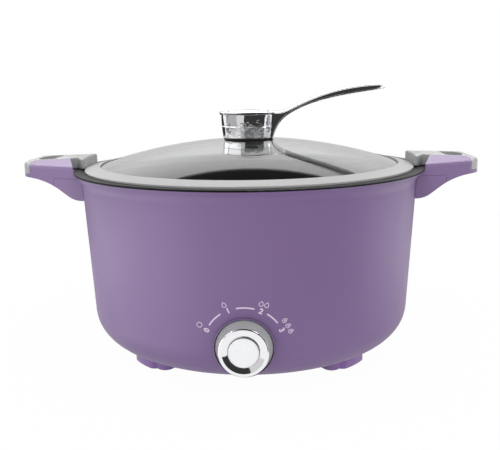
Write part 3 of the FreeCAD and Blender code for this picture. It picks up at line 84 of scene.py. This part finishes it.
# %% [markdown]
# ## Light
#
# Two things light a product: the plain soft light that falls on it, and the surroundings that its
# shiny pieces mirror. Lamps could do both, but then every lamp shows as a bright square in the glass.
# Here the world does both. Matt surfaces get an even white from all round, so that each colour comes
# out as it is written. Mirrors see a studio instead: walls that grow brighter upwards behind the pot,
# a dark ceiling with a crisp edge, which draws the dark crescent on the glass dome, and high up at
# the back a broad soft box, which lights up every edge that faces the sky.

# %% Helpers that make a node and set its values
def add_node(tree, kind, inputs=None, **settings):
    """New shader node; inputs sets its sockets, by name or number, to values or to other sockets."""
    node = tree.nodes.new("ShaderNode" + kind)
    for name, value in settings.items():
        setattr(node, name, value)
    for name, value in (inputs or {}).items():
        if isinstance(value, bpy.types.NodeSocket):
            tree.links.new(value, node.inputs[name])
        else:
            node.inputs[name].default_value = value
    return node


def maths(tree, operation, *values):
    """Result of one Math node; each value is a number or another node's socket."""
    return add_node(tree, "Math", dict(enumerate(values)), operation=operation).outputs[0]


def length(tree, place):
    """How far a point lies from the origin of its coordinates."""
    return add_node(tree, "VectorMath", {0: place}, operation="LENGTH").outputs["Value"]


def mixed(tree, factor, first, second):
    """The first value where the factor is 0, the second where it is 1."""
    return add_node(tree, "Mix", {"Factor": factor, "A": first, "B": second}).outputs["Result"]


def ramp_between(tree, value, low, high, start=0.0, end=1.0):
    """Smooth step: start where the value is at the low limit, end where it is at the high one."""
    node = add_node(tree, "MapRange", {"Value": value, "From Min": low, "From Max": high,
                                       "To Min": start, "To Max": end}, interpolation_type="SMOOTHSTEP")
    return node.outputs["Result"]


# %% The studio round the pot
SIDE_WALL = 0.85
BACK_WALL_LOW = 0.72
BACK_WALL_HIGH = 1.3
FRONT_WALL = 1.0
CEILING = 0.05
SOFT_BOX = 8.0
# Where each part begins and where it is whole. A direction of length 1 points upwards by Z and
# backwards by Y, and the limits are values of these.
BACK_WALL_BRIGHTENS = (0.12, 0.42)  # Z
BACK_WALL_STARTS = (0.60, 0.85)  # Y
FRONT_WALL_STARTS = (-0.35, -0.80)  # Y
CEILING_STARTS = (0.600, 0.612)  # Z
SOFT_BOX_STARTS = (0.70, 0.74)  # Z
SOFT_BOX_FRONT = (0.00, 0.10)  # Y

world = bpy.data.worlds.new("studio")
bpy.context.scene.world = world
world.use_nodes = True
world.cycles.sampling_method = "NONE"
tree = world.node_tree
tree.nodes.clear()
looked = add_node(tree, "TexCoord").outputs["Generated"]
axes = add_node(tree, "SeparateXYZ", {0: looked}).outputs
back = ramp_between(tree, axes["Z"], *BACK_WALL_BRIGHTENS, BACK_WALL_LOW, BACK_WALL_HIGH)
walls = mixed(tree, ramp_between(tree, axes["Y"], *BACK_WALL_STARTS), SIDE_WALL, back)
walls = mixed(tree, ramp_between(tree, axes["Y"], *FRONT_WALL_STARTS), walls, FRONT_WALL)
mirrored = mixed(tree, ramp_between(tree, axes["Z"], *CEILING_STARTS), walls, CEILING)
overhead = mixed(tree, ramp_between(tree, axes["Y"], *SOFT_BOX_FRONT), CEILING, SOFT_BOX)
mirrored = mixed(tree, ramp_between(tree, axes["Z"], *SOFT_BOX_STARTS), mirrored, overhead)
level = mixed(tree, add_node(tree, "LightPath").outputs["Is Glossy Ray"], 1.0, mirrored)
sky = add_node(tree, "Background", {"Color": (1, 1, 1, 1), "Strength": level}).outputs[0]
add_node(tree, "OutputWorld", {"Surface": sky})
print("walls", SIDE_WALL, BACK_WALL_LOW, BACK_WALL_HIGH, "ceiling", CEILING, "soft box", SOFT_BOX)

# %% [markdown]
# Two soft lamps in front bring upright faces to the level of the faces that look up. They light matt
# surfaces only, so that neither shows in the glass or the chrome.

# %% Two soft lamps
LAMP_SIZE = 1.0
LAMP_POWER = 3.0
LAMP_PLACES = {"front_left": (-1.0, -1.1, 0.8), "front_right": (1.0, -1.1, 0.8)}


def soft_lamp(name, place, aim):
    """Square area lamp that shows in no reflection."""
    lamp = bpy.data.objects.new(name, bpy.data.lights.new(name, "AREA"))
    bpy.context.scene.collection.objects.link(lamp)
    lamp.data.size = LAMP_SIZE
    lamp.data.energy = LAMP_POWER
    lamp.location = place
    lamp.rotation_mode = "QUATERNION"
    lamp.rotation_quaternion = (Vector(aim) - Vector(place)).to_track_quat("-Z", "Y")
    lamp.visible_glossy = False


for name, place in LAMP_PLACES.items():
    soft_lamp(name, place, (0, 0, rim_z / 2))
print(len(bpy.data.lights), "lamps of", LAMP_POWER, "W")

# %% [markdown]
# The floor is one large pale square. To the camera and in reflections it is nearly the white of the
# backdrop. Near the pot a share of it stays real floor, which keeps the pot's shadow, and further out
# that share fades away, so that no edge shows where the floor ends.

# %% Lay the floor
FLOOR_HALF = 4.0
FLOOR_PALE = (0.90, 0.90, 0.90, 1)
FLOOR_WHITE = 0.975
SHADOW_FADES = (0.25, 0.75)


def stage_mesh(name, points, faces, look):
    """Object that belongs to the studio and not to the pot."""
    mesh = bpy.data.meshes.new(name)
    mesh.from_pydata(points.tolist(), [], faces)
    mesh.materials.append(look)
    thing = bpy.data.objects.new(name, mesh)
    bpy.context.scene.collection.objects.link(thing)
    return thing


floor_look = bpy.data.materials.new("floor")
floor_look.use_nodes = True
tree = floor_look.node_tree
tree.nodes.clear()
paths = add_node(tree, "LightPath").outputs
direct = maths(tree, "MAXIMUM", paths["Is Camera Ray"], paths["Is Glossy Ray"])
direct = maths(tree, "MAXIMUM", direct, paths["Is Transmission Ray"])
away = length(tree, add_node(tree, "TexCoord").outputs["Object"])
whiteness = ramp_between(tree, away, *SHADOW_FADES, FLOOR_WHITE, 1.0)
share = maths(tree, "MULTIPLY", direct, whiteness)
matt = add_node(tree, "BsdfDiffuse", {"Color": FLOOR_PALE}).outputs[0]
white = add_node(tree, "Emission", {"Strength": 1.0}).outputs[0]
surface = add_node(tree, "MixShader", {0: share, 1: matt, 2: white}).outputs[0]
add_node(tree, "OutputMaterial", {"Surface": surface})
corners = np.array([(-1, -1, 0), (1, -1, 0), (1, 1, 0), (-1, 1, 0)]) * FLOOR_HALF
stage_mesh("floor", corners, [(0, 1, 2, 3)], floor_look)
print("floor", 2 * FLOOR_HALF, "m wide")

# %% [markdown]
# Bright metal looks like metal when it mirrors something dark as well. A studio stands black and grey
# cards round a chrome piece for that, a bright one beside a dull surface to give it a sheen, and one
# over each handle to light its bevel. Lamps could give the sheen, but they would brighten the matt
# colours too. Each card here is a strip of a cylinder about the pot's axis, or part of a flat ring on
# the table. Only mirrors see them.

# %% Stand the cards round the pot
CARD_STEPS = 12
CARDS = {  # name: (from, to) in degrees to the right of the front, two edges (radius, height), tone
    "dark_card_front": ((-15, 72), (0.45, 0.0), (0.45, 0.285), 0.04),
    "dark_sheet": ((8, 60), (0.26, 0.001), (0.45, 0.001), 0.04),
    "grey_card_near": ((-32, -6), (0.30, 0.0), (0.30, 0.07), 0.70),
    "grey_card_front": ((-46, -14), (0.46, 0.0), (0.46, 0.50), 0.72),
    "grey_card_left": ((-100, -46), (0.46, 0.0), (0.46, 0.16), 0.45),
    "bright_card_left": ((-93, -32), (0.30, 0.0), (0.30, 0.105), 3.0),
    "bright_card_left_high": ((-93, -32), (0.30, 0.20), (0.30, 0.30), 2.0),
    "bright_sheet_left": ((-70, -25), (0.17, 0.001), (0.24, 0.001), 2.0),
    "bright_card_right": ((70, 114), (0.30, 0.0), (0.30, 0.105), 1.9),
    "bright_card_left_handle": ((-128, -98), (0.27, 0.21), (0.27, 0.42), 2.6),
    "bright_card_right_handle": ((98, 134), (0.27, 0.21), (0.27, 0.42), 2.4),
    "dark_card_back_left": ((-165, -120), (0.45, 0.0), (0.45, 0.15), 0.04),
    "dark_card_back_right": ((120, 165), (0.45, 0.0), (0.45, 0.15), 0.30),
}


def card(name, span, first_edge, second_edge, tone):
    """Strip between two arcs about the pot's axis: two rows of points at equal turns."""
    turns = np.radians(np.linspace(*span, CARD_STEPS + 1))
    rows = [np.column_stack([radius * np.sin(turns), -radius * np.cos(turns), np.full(len(turns), z)])
            for radius, z in (first_edge, second_edge)]
    first = np.arange(CARD_STEPS)
    faces = np.column_stack([first, first + 1, first + CARD_STEPS + 2, first + CARD_STEPS + 1])
    look = bpy.data.materials.new(name)
    look.use_nodes = True
    look.node_tree.nodes.clear()
    glow = add_node(look.node_tree, "Emission", {"Strength": tone}).outputs[0]
    add_node(look.node_tree, "OutputMaterial", {"Surface": glow})
    thing = stage_mesh(name, np.vstack(rows), faces.tolist(), look)
    for ray in ("camera", "diffuse", "transmission", "shadow", "volume_scatter"):
        setattr(thing, "visible_" + ray, False)


for name, values in CARDS.items():
    card(name, *values)
print(len(CARDS), "cards")

# %% [markdown]
# ## Effects that several finishes share
#
# A node group is a little machine with named inputs and outputs. Each material could carry its own
# copy of the same nodes, but then a change would have to be made many times. Built once, a group is
# put into every material that needs it, with that material's own numbers.

# %% Helpers for the groups
COLOUR, NUMBER = "NodeSocketColor", "NodeSocketFloat"
PLAIN, USUAL, RICH = 1.0, 2.0, 3.0  # a noise's detail: how many finer layers it has


def new_group(name, inputs, outputs):
    """Node group with (name, socket type) inputs and outputs; returns it with its two end nodes."""
    group = bpy.data.node_groups.new(name, "ShaderNodeTree")
    for socket, kind in inputs:
        group.interface.new_socket(name=socket, in_out="INPUT", socket_type=kind)
    for socket, kind in outputs:
        group.interface.new_socket(name=socket, in_out="OUTPUT", socket_type=kind)
    return group, group.nodes.new("NodeGroupInput").outputs, group.nodes.new("NodeGroupOutput").inputs


def noise(tree, scale, detail=USUAL, stretch=None):
    """Noise on object coordinates; stretch scales the three axes apart."""
    place = add_node(tree, "TexCoord").outputs["Object"]
    if stretch:
        place = add_node(tree, "Mapping", {"Vector": place, "Scale": stretch}).outputs[0]
    values = {"Vector": place, "Scale": scale, "Detail": detail}
    return add_node(tree, "TexNoise", values).outputs["Fac"]


def spread(tree, value, low, high):
    """A value of 0 to 1 spread between two limits: value * (high - low) + low."""
    return maths(tree, "MULTIPLY_ADD", value, high - low, low)


def toned(tree, colour, value):
    """Colour made lighter or darker by a factor."""
    return add_node(tree, "HueSaturation", {"Color": colour, "Value": value}).outputs[0]


# %% [markdown]
# Plastic, paint and rubber are never quite even. A mould leaves a fine grain, the tone drifts slowly
# from place to place, and the gloss is a little patchy. Three noises at three scales give that: the
# finest only tilts the surface, the slowest only shifts its tone.

# %% The moulded skin
DRIFT_SCALE = 9.0
PATCH_SCALE = 55.0
PATCH_GLOSS = 0.08

skin, given, out = new_group(
    "moulded_skin",
    [("Colour", COLOUR), ("Roughness", NUMBER), ("Grain", NUMBER), ("Drift", NUMBER)],
    [("Colour", COLOUR), ("Roughness", NUMBER), ("Height", NUMBER)])
swing = spread(skin, noise(skin, DRIFT_SCALE, RICH), -1.0, 1.0)
tone = maths(skin, "MULTIPLY_ADD", swing, given["Drift"], 1.0)
skin.links.new(toned(skin, given["Colour"], tone), out["Colour"])
patchy = spread(skin, noise(skin, PATCH_SCALE), -PATCH_GLOSS / 2, PATCH_GLOSS / 2)
skin.links.new(maths(skin, "ADD", given["Roughness"], patchy), out["Roughness"])
skin.links.new(noise(skin, given["Grain"], PLAIN), out["Height"])
print("group", skin.name)

# %% [markdown]
# Chrome copies what lies under it, and a cast knob is never optically flat, so its mirror images
# break into ripples. Real ripples could be modelled, but two noises that tilt the surface do it with
# no extra faces. The knob's arm is drawn smooth, so the waves calm down with the distance from the
# pot's axis.

# %% The waves of plated metal
FINE_WAVES = 700.0
FINE_HEIGHT = 0.12
WAVES_END = (17 * MM, 26 * MM)
ARM_WAVES = 0.15
HAZE_SCALE = 90.0
HAZE_ROUGHNESS = (0.01, 0.07)
PLATING_SCALE = 40.0
PLATING_TONE = (0.97, 1.03)

plated, given, out = new_group(
    "plated_waves", [("Colour", COLOUR), ("Waves", NUMBER)],
    [("Colour", COLOUR), ("Roughness", NUMBER), ("Height", NUMBER)])
fine = spread(plated, noise(plated, FINE_WAVES, PLAIN), 0.0, FINE_HEIGHT)
waves = maths(plated, "ADD", noise(plated, given["Waves"], PLAIN), fine)
place = add_node(plated, "TexCoord").outputs["Object"]
level_place = add_node(plated, "VectorMath", {0: place, 1: (1, 1, 0)}, operation="MULTIPLY").outputs[0]
calm = ramp_between(plated, length(plated, level_place), *WAVES_END, 1.0, ARM_WAVES)
plated.links.new(maths(plated, "MULTIPLY", waves, calm), out["Height"])
plated.links.new(spread(plated, noise(plated, HAZE_SCALE, RICH), *HAZE_ROUGHNESS), out["Roughness"])
tone = spread(plated, noise(plated, PLATING_SCALE), *PLATING_TONE)
plated.links.new(toned(plated, given["Colour"], tone), out["Colour"])
print("group", plated.name)

# %% [markdown]
# Screws, brackets and the cast heater show how they were worked: fine streaks of one direction,
# called the lay. A noise that is squeezed along one axis gives streaks, and the same streaks change
# the gloss, as a real scratch does.

# %% Brushed and cast metal
STREAK_STRETCH = (1.0, 1.0, 14.0)
STREAK_GLOSS = 0.08
WORKED_SCALE = 30.0
WORKED_TONE = (0.90, 1.10)

worked, given, out = new_group(
    "worked_metal", [("Colour", COLOUR), ("Roughness", NUMBER), ("Lay", NUMBER)],
    [("Colour", COLOUR), ("Roughness", NUMBER), ("Height", NUMBER)])
streak = noise(worked, given["Lay"], USUAL, STREAK_STRETCH)
worked.links.new(streak, out["Height"])
uneven = spread(worked, streak, -STREAK_GLOSS, STREAK_GLOSS)
worked.links.new(maths(worked, "ADD", given["Roughness"], uneven), out["Roughness"])
tone = spread(worked, noise(worked, WORKED_SCALE, RICH), *WORKED_TONE)
worked.links.new(toned(worked, given["Colour"], tone), out["Colour"])
print("group", worked.name)

# %% [markdown]
# The dial is one moulding with two finishes: a satin skirt and a polished face. Its cap is white with
# a plated bevel. Two materials on one piece would need its faces sorted, so a mask does it instead.
# From object coordinates it tells whether a point lies within a radius of the dial's axis and in
# front of a given depth. There the inner finish holds, and elsewhere the outer one.

# %% A mask of the dial's front
COLOUR_A, COLOUR_B, MIXED_COLOUR = 6, 7, 2  # sockets of a Mix node that mixes colours

dial_low, dial_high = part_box("dial_knob")
dial_axis_z = (dial_low.z + dial_high.z) / 2
print("dial axis at", round(dial_axis_z / MM, 2), "mm, front at", round(dial_low.y / MM, 2), "mm")

two_part, given, out = new_group(
    "two_part_finish",
    [("Outer colour", COLOUR), ("Inner colour", COLOUR), ("Outer roughness", NUMBER),
     ("Inner roughness", NUMBER), ("Outer metal", NUMBER), ("Inner metal", NUMBER),
     ("Radius", NUMBER), ("Depth", NUMBER), ("Waves", NUMBER)],
    [("Colour", COLOUR), ("Roughness", NUMBER), ("Metallic", NUMBER), ("Height", NUMBER)])
place = add_node(two_part, "TexCoord").outputs["Object"]
centred = add_node(two_part, "Mapping", {"Vector": place, "Location": (0, 0, -dial_axis_z),
                                         "Scale": (1, 0, 1)}).outputs[0]
near_axis = maths(two_part, "LESS_THAN", length(two_part, centred), given["Radius"])
depth = add_node(two_part, "SeparateXYZ", {0: place}).outputs["Y"]
in_front = maths(two_part, "LESS_THAN", depth, given["Depth"])
inner = maths(two_part, "MULTIPLY", near_axis, in_front)
shade = add_node(two_part, "Mix", {0: inner}, data_type="RGBA")
two_part.links.new(given["Outer colour"], shade.inputs[COLOUR_A])
two_part.links.new(given["Inner colour"], shade.inputs[COLOUR_B])
two_part.links.new(shade.outputs[MIXED_COLOUR], out["Colour"])
for word, socket in (("roughness", "Roughness"), ("metal", "Metallic")):
    value = mixed(two_part, inner, given["Outer " + word], given["Inner " + word])
    two_part.links.new(value, out[socket])
two_part.links.new(noise(two_part, given["Waves"], PLAIN), out["Height"])
print("group", two_part.name)

# %% [markdown]
# ## Finishes
#
# Every finish is one Principled shader with a group in front of it. What changes over the surface
# comes from the group; what is the same everywhere, such as how much the surface mirrors head on,
# is set on the shader's own socket. Colours are written as they are seen and made linear here.

# %% Helpers that make a finish
def linear(colour):
    """Colour of three 0..255 steps as the eye sees it, turned to light."""
    seen = np.array(colour) / 255
    light = np.where(seen <= 0.04045, seen / 12.92, ((seen + 0.055) / 1.055) ** 2.4)
    return (*light.tolist(), 1.0)


def new_finish(name, group, values, bump, linked=None, **sockets):
    """Material with one group feeding a Principled shader; bump is (strength, height in metres)."""
    look = bpy.data.materials.new(name)
    look.use_nodes = True
    tree = look.node_tree
    tree.nodes.clear()
    surface = tree.nodes.new("ShaderNodeGroup")
    surface.node_tree = group
    for socket, value in values.items():
        surface.inputs[socket].default_value = value
    shader = add_node(tree, "BsdfPrincipled", {"Base Color": surface.outputs["Colour"],
                                               "Roughness": surface.outputs["Roughness"]})
    for socket, output in (linked or {}).items():
        tree.links.new(surface.outputs[output], shader.inputs[socket])
    for socket, value in sockets.items():
        shader.inputs[socket.replace("_", " ")].default_value = value
    relief = add_node(tree, "Bump", {"Height": surface.outputs["Height"],
                                     "Strength": bump[0], "Distance": bump[1]})
    tree.links.new(relief.outputs[0], shader.inputs["Normal"])
    add_node(tree, "OutputMaterial", {"Surface": shader.outputs[0]})
    return look


def moulded(name, colour, roughness, grain=1800.0, drift=0.02, bump=(0.2, 0.05 * MM), **sockets):
    """Plastic, paint or rubber."""
    values = {"Colour": linear(colour), "Roughness": roughness, "Grain": grain, "Drift": drift}
    return new_finish(name, skin, values, bump, **sockets)


def metal(name, colour, roughness, lay=400.0, bump=(0.3, 0.08 * MM)):
    """Cast, drawn or zinc-plated metal."""
    values = {"Colour": linear(colour), "Roughness": roughness, "Lay": lay}
    return new_finish(name, worked, values, bump, Metallic=1.0)


def chrome(name, colour, waves, bump):
    """Plated metal with waves of a given fineness."""
    values = {"Colour": linear(colour), "Waves": waves}
    return new_finish(name, plated, values, bump, Metallic=1.0)


# %% [markdown]
# The housing's wall is matt paint. The handles are moulded in a slightly lighter purple with more
# gloss, and the feet are glossier still. The feet's purple is lighter than the housing's as painted
# light: it is raised to stand in for the light that falls on them. The pan's coating mirrors so little
# that it stays black under the glass, and the lid's band is soft grey silicone.

# %% Plastics and rubber
finishes = {
    "housing_paint": moulded("matt_purple", (116, 92, 136), 0.50),
    "handle_plastic": moulded("handle_purple", (127, 105, 145), 0.36),
    # The feet's purple is made lighter than the moulding's own: painted light for the light they catch.
    "foot_plastic": moulded("foot_purple_painted_light", (136, 101, 162), 0.28),
    "grey_cover": moulded("cover_grey", (158, 159, 158), 0.34),
    "grey_plastic": moulded("bezel_skin", (112, 92, 130), 0.50),
    "black_plastic": moulded("black_moulding", (28, 28, 30), 0.42),
    "pan_coating": moulded("pan_coat", (15, 15, 16), 0.50, grain=900.0, drift=0.05,
                           bump=(0.1, 0.1 * MM), Specular_IOR_Level=0.1),
    "band_silicone": moulded("band_grey", (163, 162, 162), 0.45, grain=1200.0, drift=0.012,
                             Specular_IOR_Level=0.3),
    "dark_rubber": moulded("dark_rubber", (34, 34, 35), 0.70),
    "sleeving": moulded("lead_sleeving", (196, 192, 178), 0.60),
}
print(len(finishes), "moulded finishes")

# %% [markdown]
# Metals are coloured mirrors: the shader's Metallic is 1, and what tells one from the next is its
# colour and how rough it is. Only the knob is plated bright.

# %% Metals
finishes["cast_plate"] = metal("cast_plate", (168, 170, 172), 0.55, lay=900.0)
finishes["element_sheath"] = metal("element_sheath", (120, 116, 110), 0.45)
finishes["bare_steel"] = metal("bare_steel", (176, 176, 178), 0.35)
finishes["zinc_steel"] = metal("zinc_steel", (190, 192, 196), 0.30)
finishes["contact_brass"] = metal("contact_brass", (205, 180, 120), 0.28)
finishes["knob_chrome"] = chrome("knob_chrome", (242, 242, 244), 210.0, (1.0, 0.5 * MM))
print(len(finishes), "finishes so far")

# %% [markdown]
# The dial's skirt is satin, and its face is polished within a radius and a thin band of depth. On the
# cap the white holds within a radius, at any depth, and the bevel round it is plated.

# %% Dial and its cap
FACE_BAND = 1.3 * MM
POLISHED_RADIUS = 17.9 * MM
CAP_WHITE_RADIUS = 10.9 * MM
DIAL_WAVES = 240.0
PART_METAL = {"Metallic": "Metallic"}  # socket of the shader: output of the group

dial_face = {"Outer colour": linear((170, 172, 172)), "Inner colour": linear((240, 240, 242)),
             "Outer roughness": 0.30, "Inner roughness": 0.06, "Outer metal": 0.15, "Inner metal": 1.0,
             "Radius": POLISHED_RADIUS, "Depth": dial_low.y + FACE_BAND, "Waves": DIAL_WAVES}
finishes["dial_chrome"] = new_finish("dial_chrome", two_part, dial_face, (0.4, 0.2 * MM), PART_METAL)
cap_face = {"Outer colour": linear((236, 237, 239)), "Inner colour": linear((232, 233, 235)),
            "Outer roughness": 0.05, "Inner roughness": 0.18, "Outer metal": 1.0, "Inner metal": 0.0,
            "Radius": CAP_WHITE_RADIUS, "Depth": 0.0, "Waves": DIAL_WAVES}
finishes["dial_white"] = new_finish("dial_white", two_part, cap_face, (0.1, 0.05 * MM), PART_METAL)
print("dial finishes added,", len(finishes), "so far")

# %% [markdown]
# Glass needs no group: it is clear all over. Light bends through both of its faces, so the piece is
# a real closed dome of even thickness, and the mirror images on it come from the studio alone.

# %% Glass
glass = bpy.data.materials.new("lid_glass")
glass.use_nodes = True
shader = glass.node_tree.nodes["Principled BSDF"]
for socket, value in {"Base Color": (0.72, 0.73, 0.73, 1), "Roughness": 0.0, "IOR": 1.52,
                      "Metallic": 0.0, "Transmission Weight": 1.0}.items():
    shader.inputs[socket].default_value = value
finishes["lid_glass"] = glass
print("glass added,", len(finishes), "finishes in all")

# %% Give every piece its finish
slot_of = {part["node"]: part["material_slot"] for part in frame["record"]["subparts"]}
for name, piece in nodes.items():
    piece.data.materials.clear()
    piece.data.materials.append(finishes[slot_of[name]])
print({slot: sum(1 for s in slot_of.values() if s == slot) for slot in sorted(set(slot_of.values()))})

# %% [markdown]
# ## Marks round the dial
#
# The marks are printed on the wall, which is a leaning cone there. They are drawn flat first, as if
# the wall were unrolled: across is the distance along the wall, up is the height. Then one function
# bends every point onto the cone. Printed ink has almost no thickness, so each mark is a closed solid
# a tenth of a millimetre proud of the paint and sunk as deep into it.

# %% Bend a flat drawing onto the wall
WALL_LOW_R = 136.8 * MM
WALL_LOW_Z = 10.0 * MM
WALL_LEAN = 7.1 / 139.0  # how much the radius grows over how much height
INK = 0.10 * MM


def wrap(flat):
    """Points (across, up, proud) to space: the angle is across over the radius at the dial's axis,
    and the radius grows with height, as the wall leans, plus how far the point stands proud."""
    across, up, proud = flat.T
    height = dial_axis_z + up
    turn = across / (WALL_LOW_R + WALL_LEAN * (dial_axis_z - WALL_LOW_Z))
    radius = WALL_LOW_R + WALL_LEAN * (height - WALL_LOW_Z) + proud
    return np.column_stack([radius * np.sin(turn), -radius * np.cos(turn), height])


at_dial = wrap(np.zeros((1, 3)))[0]
print("wall at the dial's axis", [round(value / MM, 2) for value in at_dial], "mm")


# %% Flat points about the dial
def polar(radius, degrees):
    """Flat points at a radius and at angles about the dial's axis: radius times cosine and sine."""
    turn = np.radians(degrees)
    return np.column_stack([radius * np.cos(turn), radius * np.sin(turn)])


# %% A stroke of even width along a flat line
def stroke(line, width, closed):
    """Points and faces of a flat bar along a line: at each point the two sides lie half a width out
    along the normal, once proud of the wall and once sunk into it, and open ends are capped."""
    count = len(line)
    ahead = np.roll(line, -1, 0) - np.roll(line, 1, 0)
    if not closed:
        ahead[0] = line[1] - line[0]
        ahead[-1] = line[-1] - line[-2]
    ahead /= np.linalg.norm(ahead, axis=1)[:, None]
    aside = np.column_stack([-ahead[:, 1], ahead[:, 0]]) * width / 2
    lanes = ((-1, INK), (1, INK), (1, -INK), (-1, -INK))
    points = np.vstack([np.column_stack([line + side * aside, np.full(count, proud)])
                        for side, proud in lanes])
    step = np.arange(count if closed else count - 1)
    after = (step + 1) % count
    faces = []
    for lane in range(len(lanes)):
        here, there = lane * count, (lane + 1) % len(lanes) * count
        faces += np.column_stack([here + step, here + after, there + after, there + step]).tolist()
    if not closed:
        first_cap = [lane * count for lane in range(len(lanes))]
        last_cap = [corner + count - 1 for corner in reversed(first_cap)]
        faces += [first_cap, last_cap]
    return points, faces


def filled(line):
    """Points and faces of a filled flat shape: a fan round the middle, in front and behind."""
    count = len(line)
    middle = line.mean(0)
    outline = np.vstack([line, middle])
    points = np.vstack([np.column_stack([outline, np.full(count + 1, proud)]) for proud in (INK, -INK)])
    step = np.arange(count)
    after = (step + 1) % count
    back = count + 1
    faces = np.column_stack([step, after, np.full(count, count)]).tolist()
    faces += np.column_stack([after + back, step + back, np.full(count, count + back)]).tolist()
    faces += np.column_stack([step + back, after + back, after, step]).tolist()
    return points, faces


# %% One piece from several flat shapes
ink = moulded("dial_ink", (206, 192, 214), 0.50)
WELD = 0.001 * MM


def printed(name, shapes):
    """Joins flat shapes, bends them onto the wall, welds points that fall together and lets the
    piece ride on the housing."""
    points, faces = [], []
    for shape_points, shape_faces in shapes:
        start = sum(len(part) for part in points)
        points.append(shape_points)
        faces += [[start + corner for corner in face] for face in shape_faces]
    mesh = bpy.data.meshes.new(name)
    mesh.from_pydata(wrap(np.vstack(points)).tolist(), [], faces)
    mesh.materials.append(ink)
    solid = bmesh.new()
    solid.from_mesh(mesh)
    bmesh.ops.remove_doubles(solid, verts=solid.verts, dist=WELD)
    open_edges = sum(not edge.is_manifold for edge in solid.edges)
    volume = solid.calc_volume(signed=True) / MM ** 3
    solid.to_mesh(mesh)
    solid.free()
    piece = bpy.data.objects.new(name, mesh)
    bpy.context.scene.collection.objects.link(piece)
    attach(piece, "root")
    print(name, len(mesh.vertices), "points,", open_edges, "open edges,", round(volume, 2), "mm3")


# %% [markdown]
# Three arcs run between the settings. Small outline signs stand outside them: a ring for off, then
# one, two and three drops for low, middle and high heat.

# %% Arcs and signs
MARK_RADIUS = 29.5 * MM
ARC_WIDTH = 1.1 * MM
ARC_POINTS = 20
ARCS = ((148.0, 124.0), (100.6, 75.0), (56.2, 36.0))  # degrees from the right, as in polar()
SIGN_WIDTH = 0.5 * MM
SIGN_R = 1.9 * MM
RING_SIGN = (35.8, 154.3)  # millimetres from the axis, degrees
DROPS = ((34.5, 113.7), (34.7, 69.0), (35.3, 62.4), (34.8, 33.2), (35.0, 25.1), (35.4, 17.4))
FILLED_FROM = 3  # the drops of the highest heat have a filled middle
FILLED_SHARE = 0.4
SIGN_STEPS = 28


def drop(size, radius, degrees):
    """Teardrop with its tip outwards: cos t along, sin t times sin of half t across."""
    t = np.linspace(0, 2 * math.pi, SIGN_STEPS, endpoint=False)
    along, across = size * np.cos(t), size * np.sin(t) * np.sin(t / 2)
    turn = math.radians(degrees)
    middle = polar(radius, degrees)
    return middle + np.column_stack([along * math.cos(turn) - across * math.sin(turn),
                                     along * math.sin(turn) + across * math.cos(turn)])


arc_lines = [polar(MARK_RADIUS, np.linspace(first, last, ARC_POINTS)) for first, last in ARCS]
printed("dial_arcs", [stroke(line, ARC_WIDTH, False) for line in arc_lines])
circle = polar(SIGN_R, np.linspace(0, 360, SIGN_STEPS, endpoint=False))
signs = [stroke(circle + polar(RING_SIGN[0] * MM, RING_SIGN[1]), SIGN_WIDTH, True)]
signs += [stroke(drop(SIGN_R, radius * MM, degrees), SIGN_WIDTH, True) for radius, degrees in DROPS]
signs += [filled(drop(SIGN_R * FILLED_SHARE, radius * MM, degrees))
          for radius, degrees in DROPS[FILLED_FROM:]]
printed("dial_signs", signs)

# %% [markdown]
# The settings are numbered 0 to 3. A text object gives the outline of a digit; made into a mesh, its
# points are turned to face out from the dial, moved to their place and bent onto the wall.

# %% Digits
DIGIT_SIZE = 5.6 * MM
DIGIT_SPOTS = (156.5, 112.0, 65.5, 23.6)
DIGIT_BOLD = 0.04
DIGIT_STEPS = 6


def digit(text, degrees):
    """Flat digit about its own middle, its top pointing away from the dial."""
    curve = bpy.data.curves.new("digit", "FONT")
    curve.body = text
    curve.size = 1.0
    curve.offset = DIGIT_BOLD
    curve.extrude = INK / DIGIT_SIZE
    curve.resolution_u = DIGIT_STEPS
    writer = bpy.data.objects.new("digit", curve)
    mesh = bpy.data.meshes.new_from_object(writer)
    corner = np.zeros(len(mesh.vertices) * 3)
    mesh.vertices.foreach_get("co", corner)
    corner = corner.reshape(-1, 3)
    corner[:, :2] -= (corner[:, :2].min(0) + corner[:, :2].max(0)) / 2
    corner *= DIGIT_SIZE
    faces = [list(face.vertices) for face in mesh.polygons]
    bpy.data.objects.remove(writer)
    bpy.data.meshes.remove(mesh)
    turn = math.radians(degrees - 90)
    spin = np.array([[math.cos(turn), math.sin(turn)], [-math.sin(turn), math.cos(turn)]])
    flat = corner[:, :2] @ spin + polar(MARK_RADIUS, degrees)
    return np.column_stack([flat, corner[:, 2]]), faces


printed("dial_digits", [digit(str(number), degrees) for number, degrees in enumerate(DIGIT_SPOTS)])

# %% [markdown]
# ## Last step

# %% Finish
bpy.context.scene.view_settings.view_transform = "Standard"
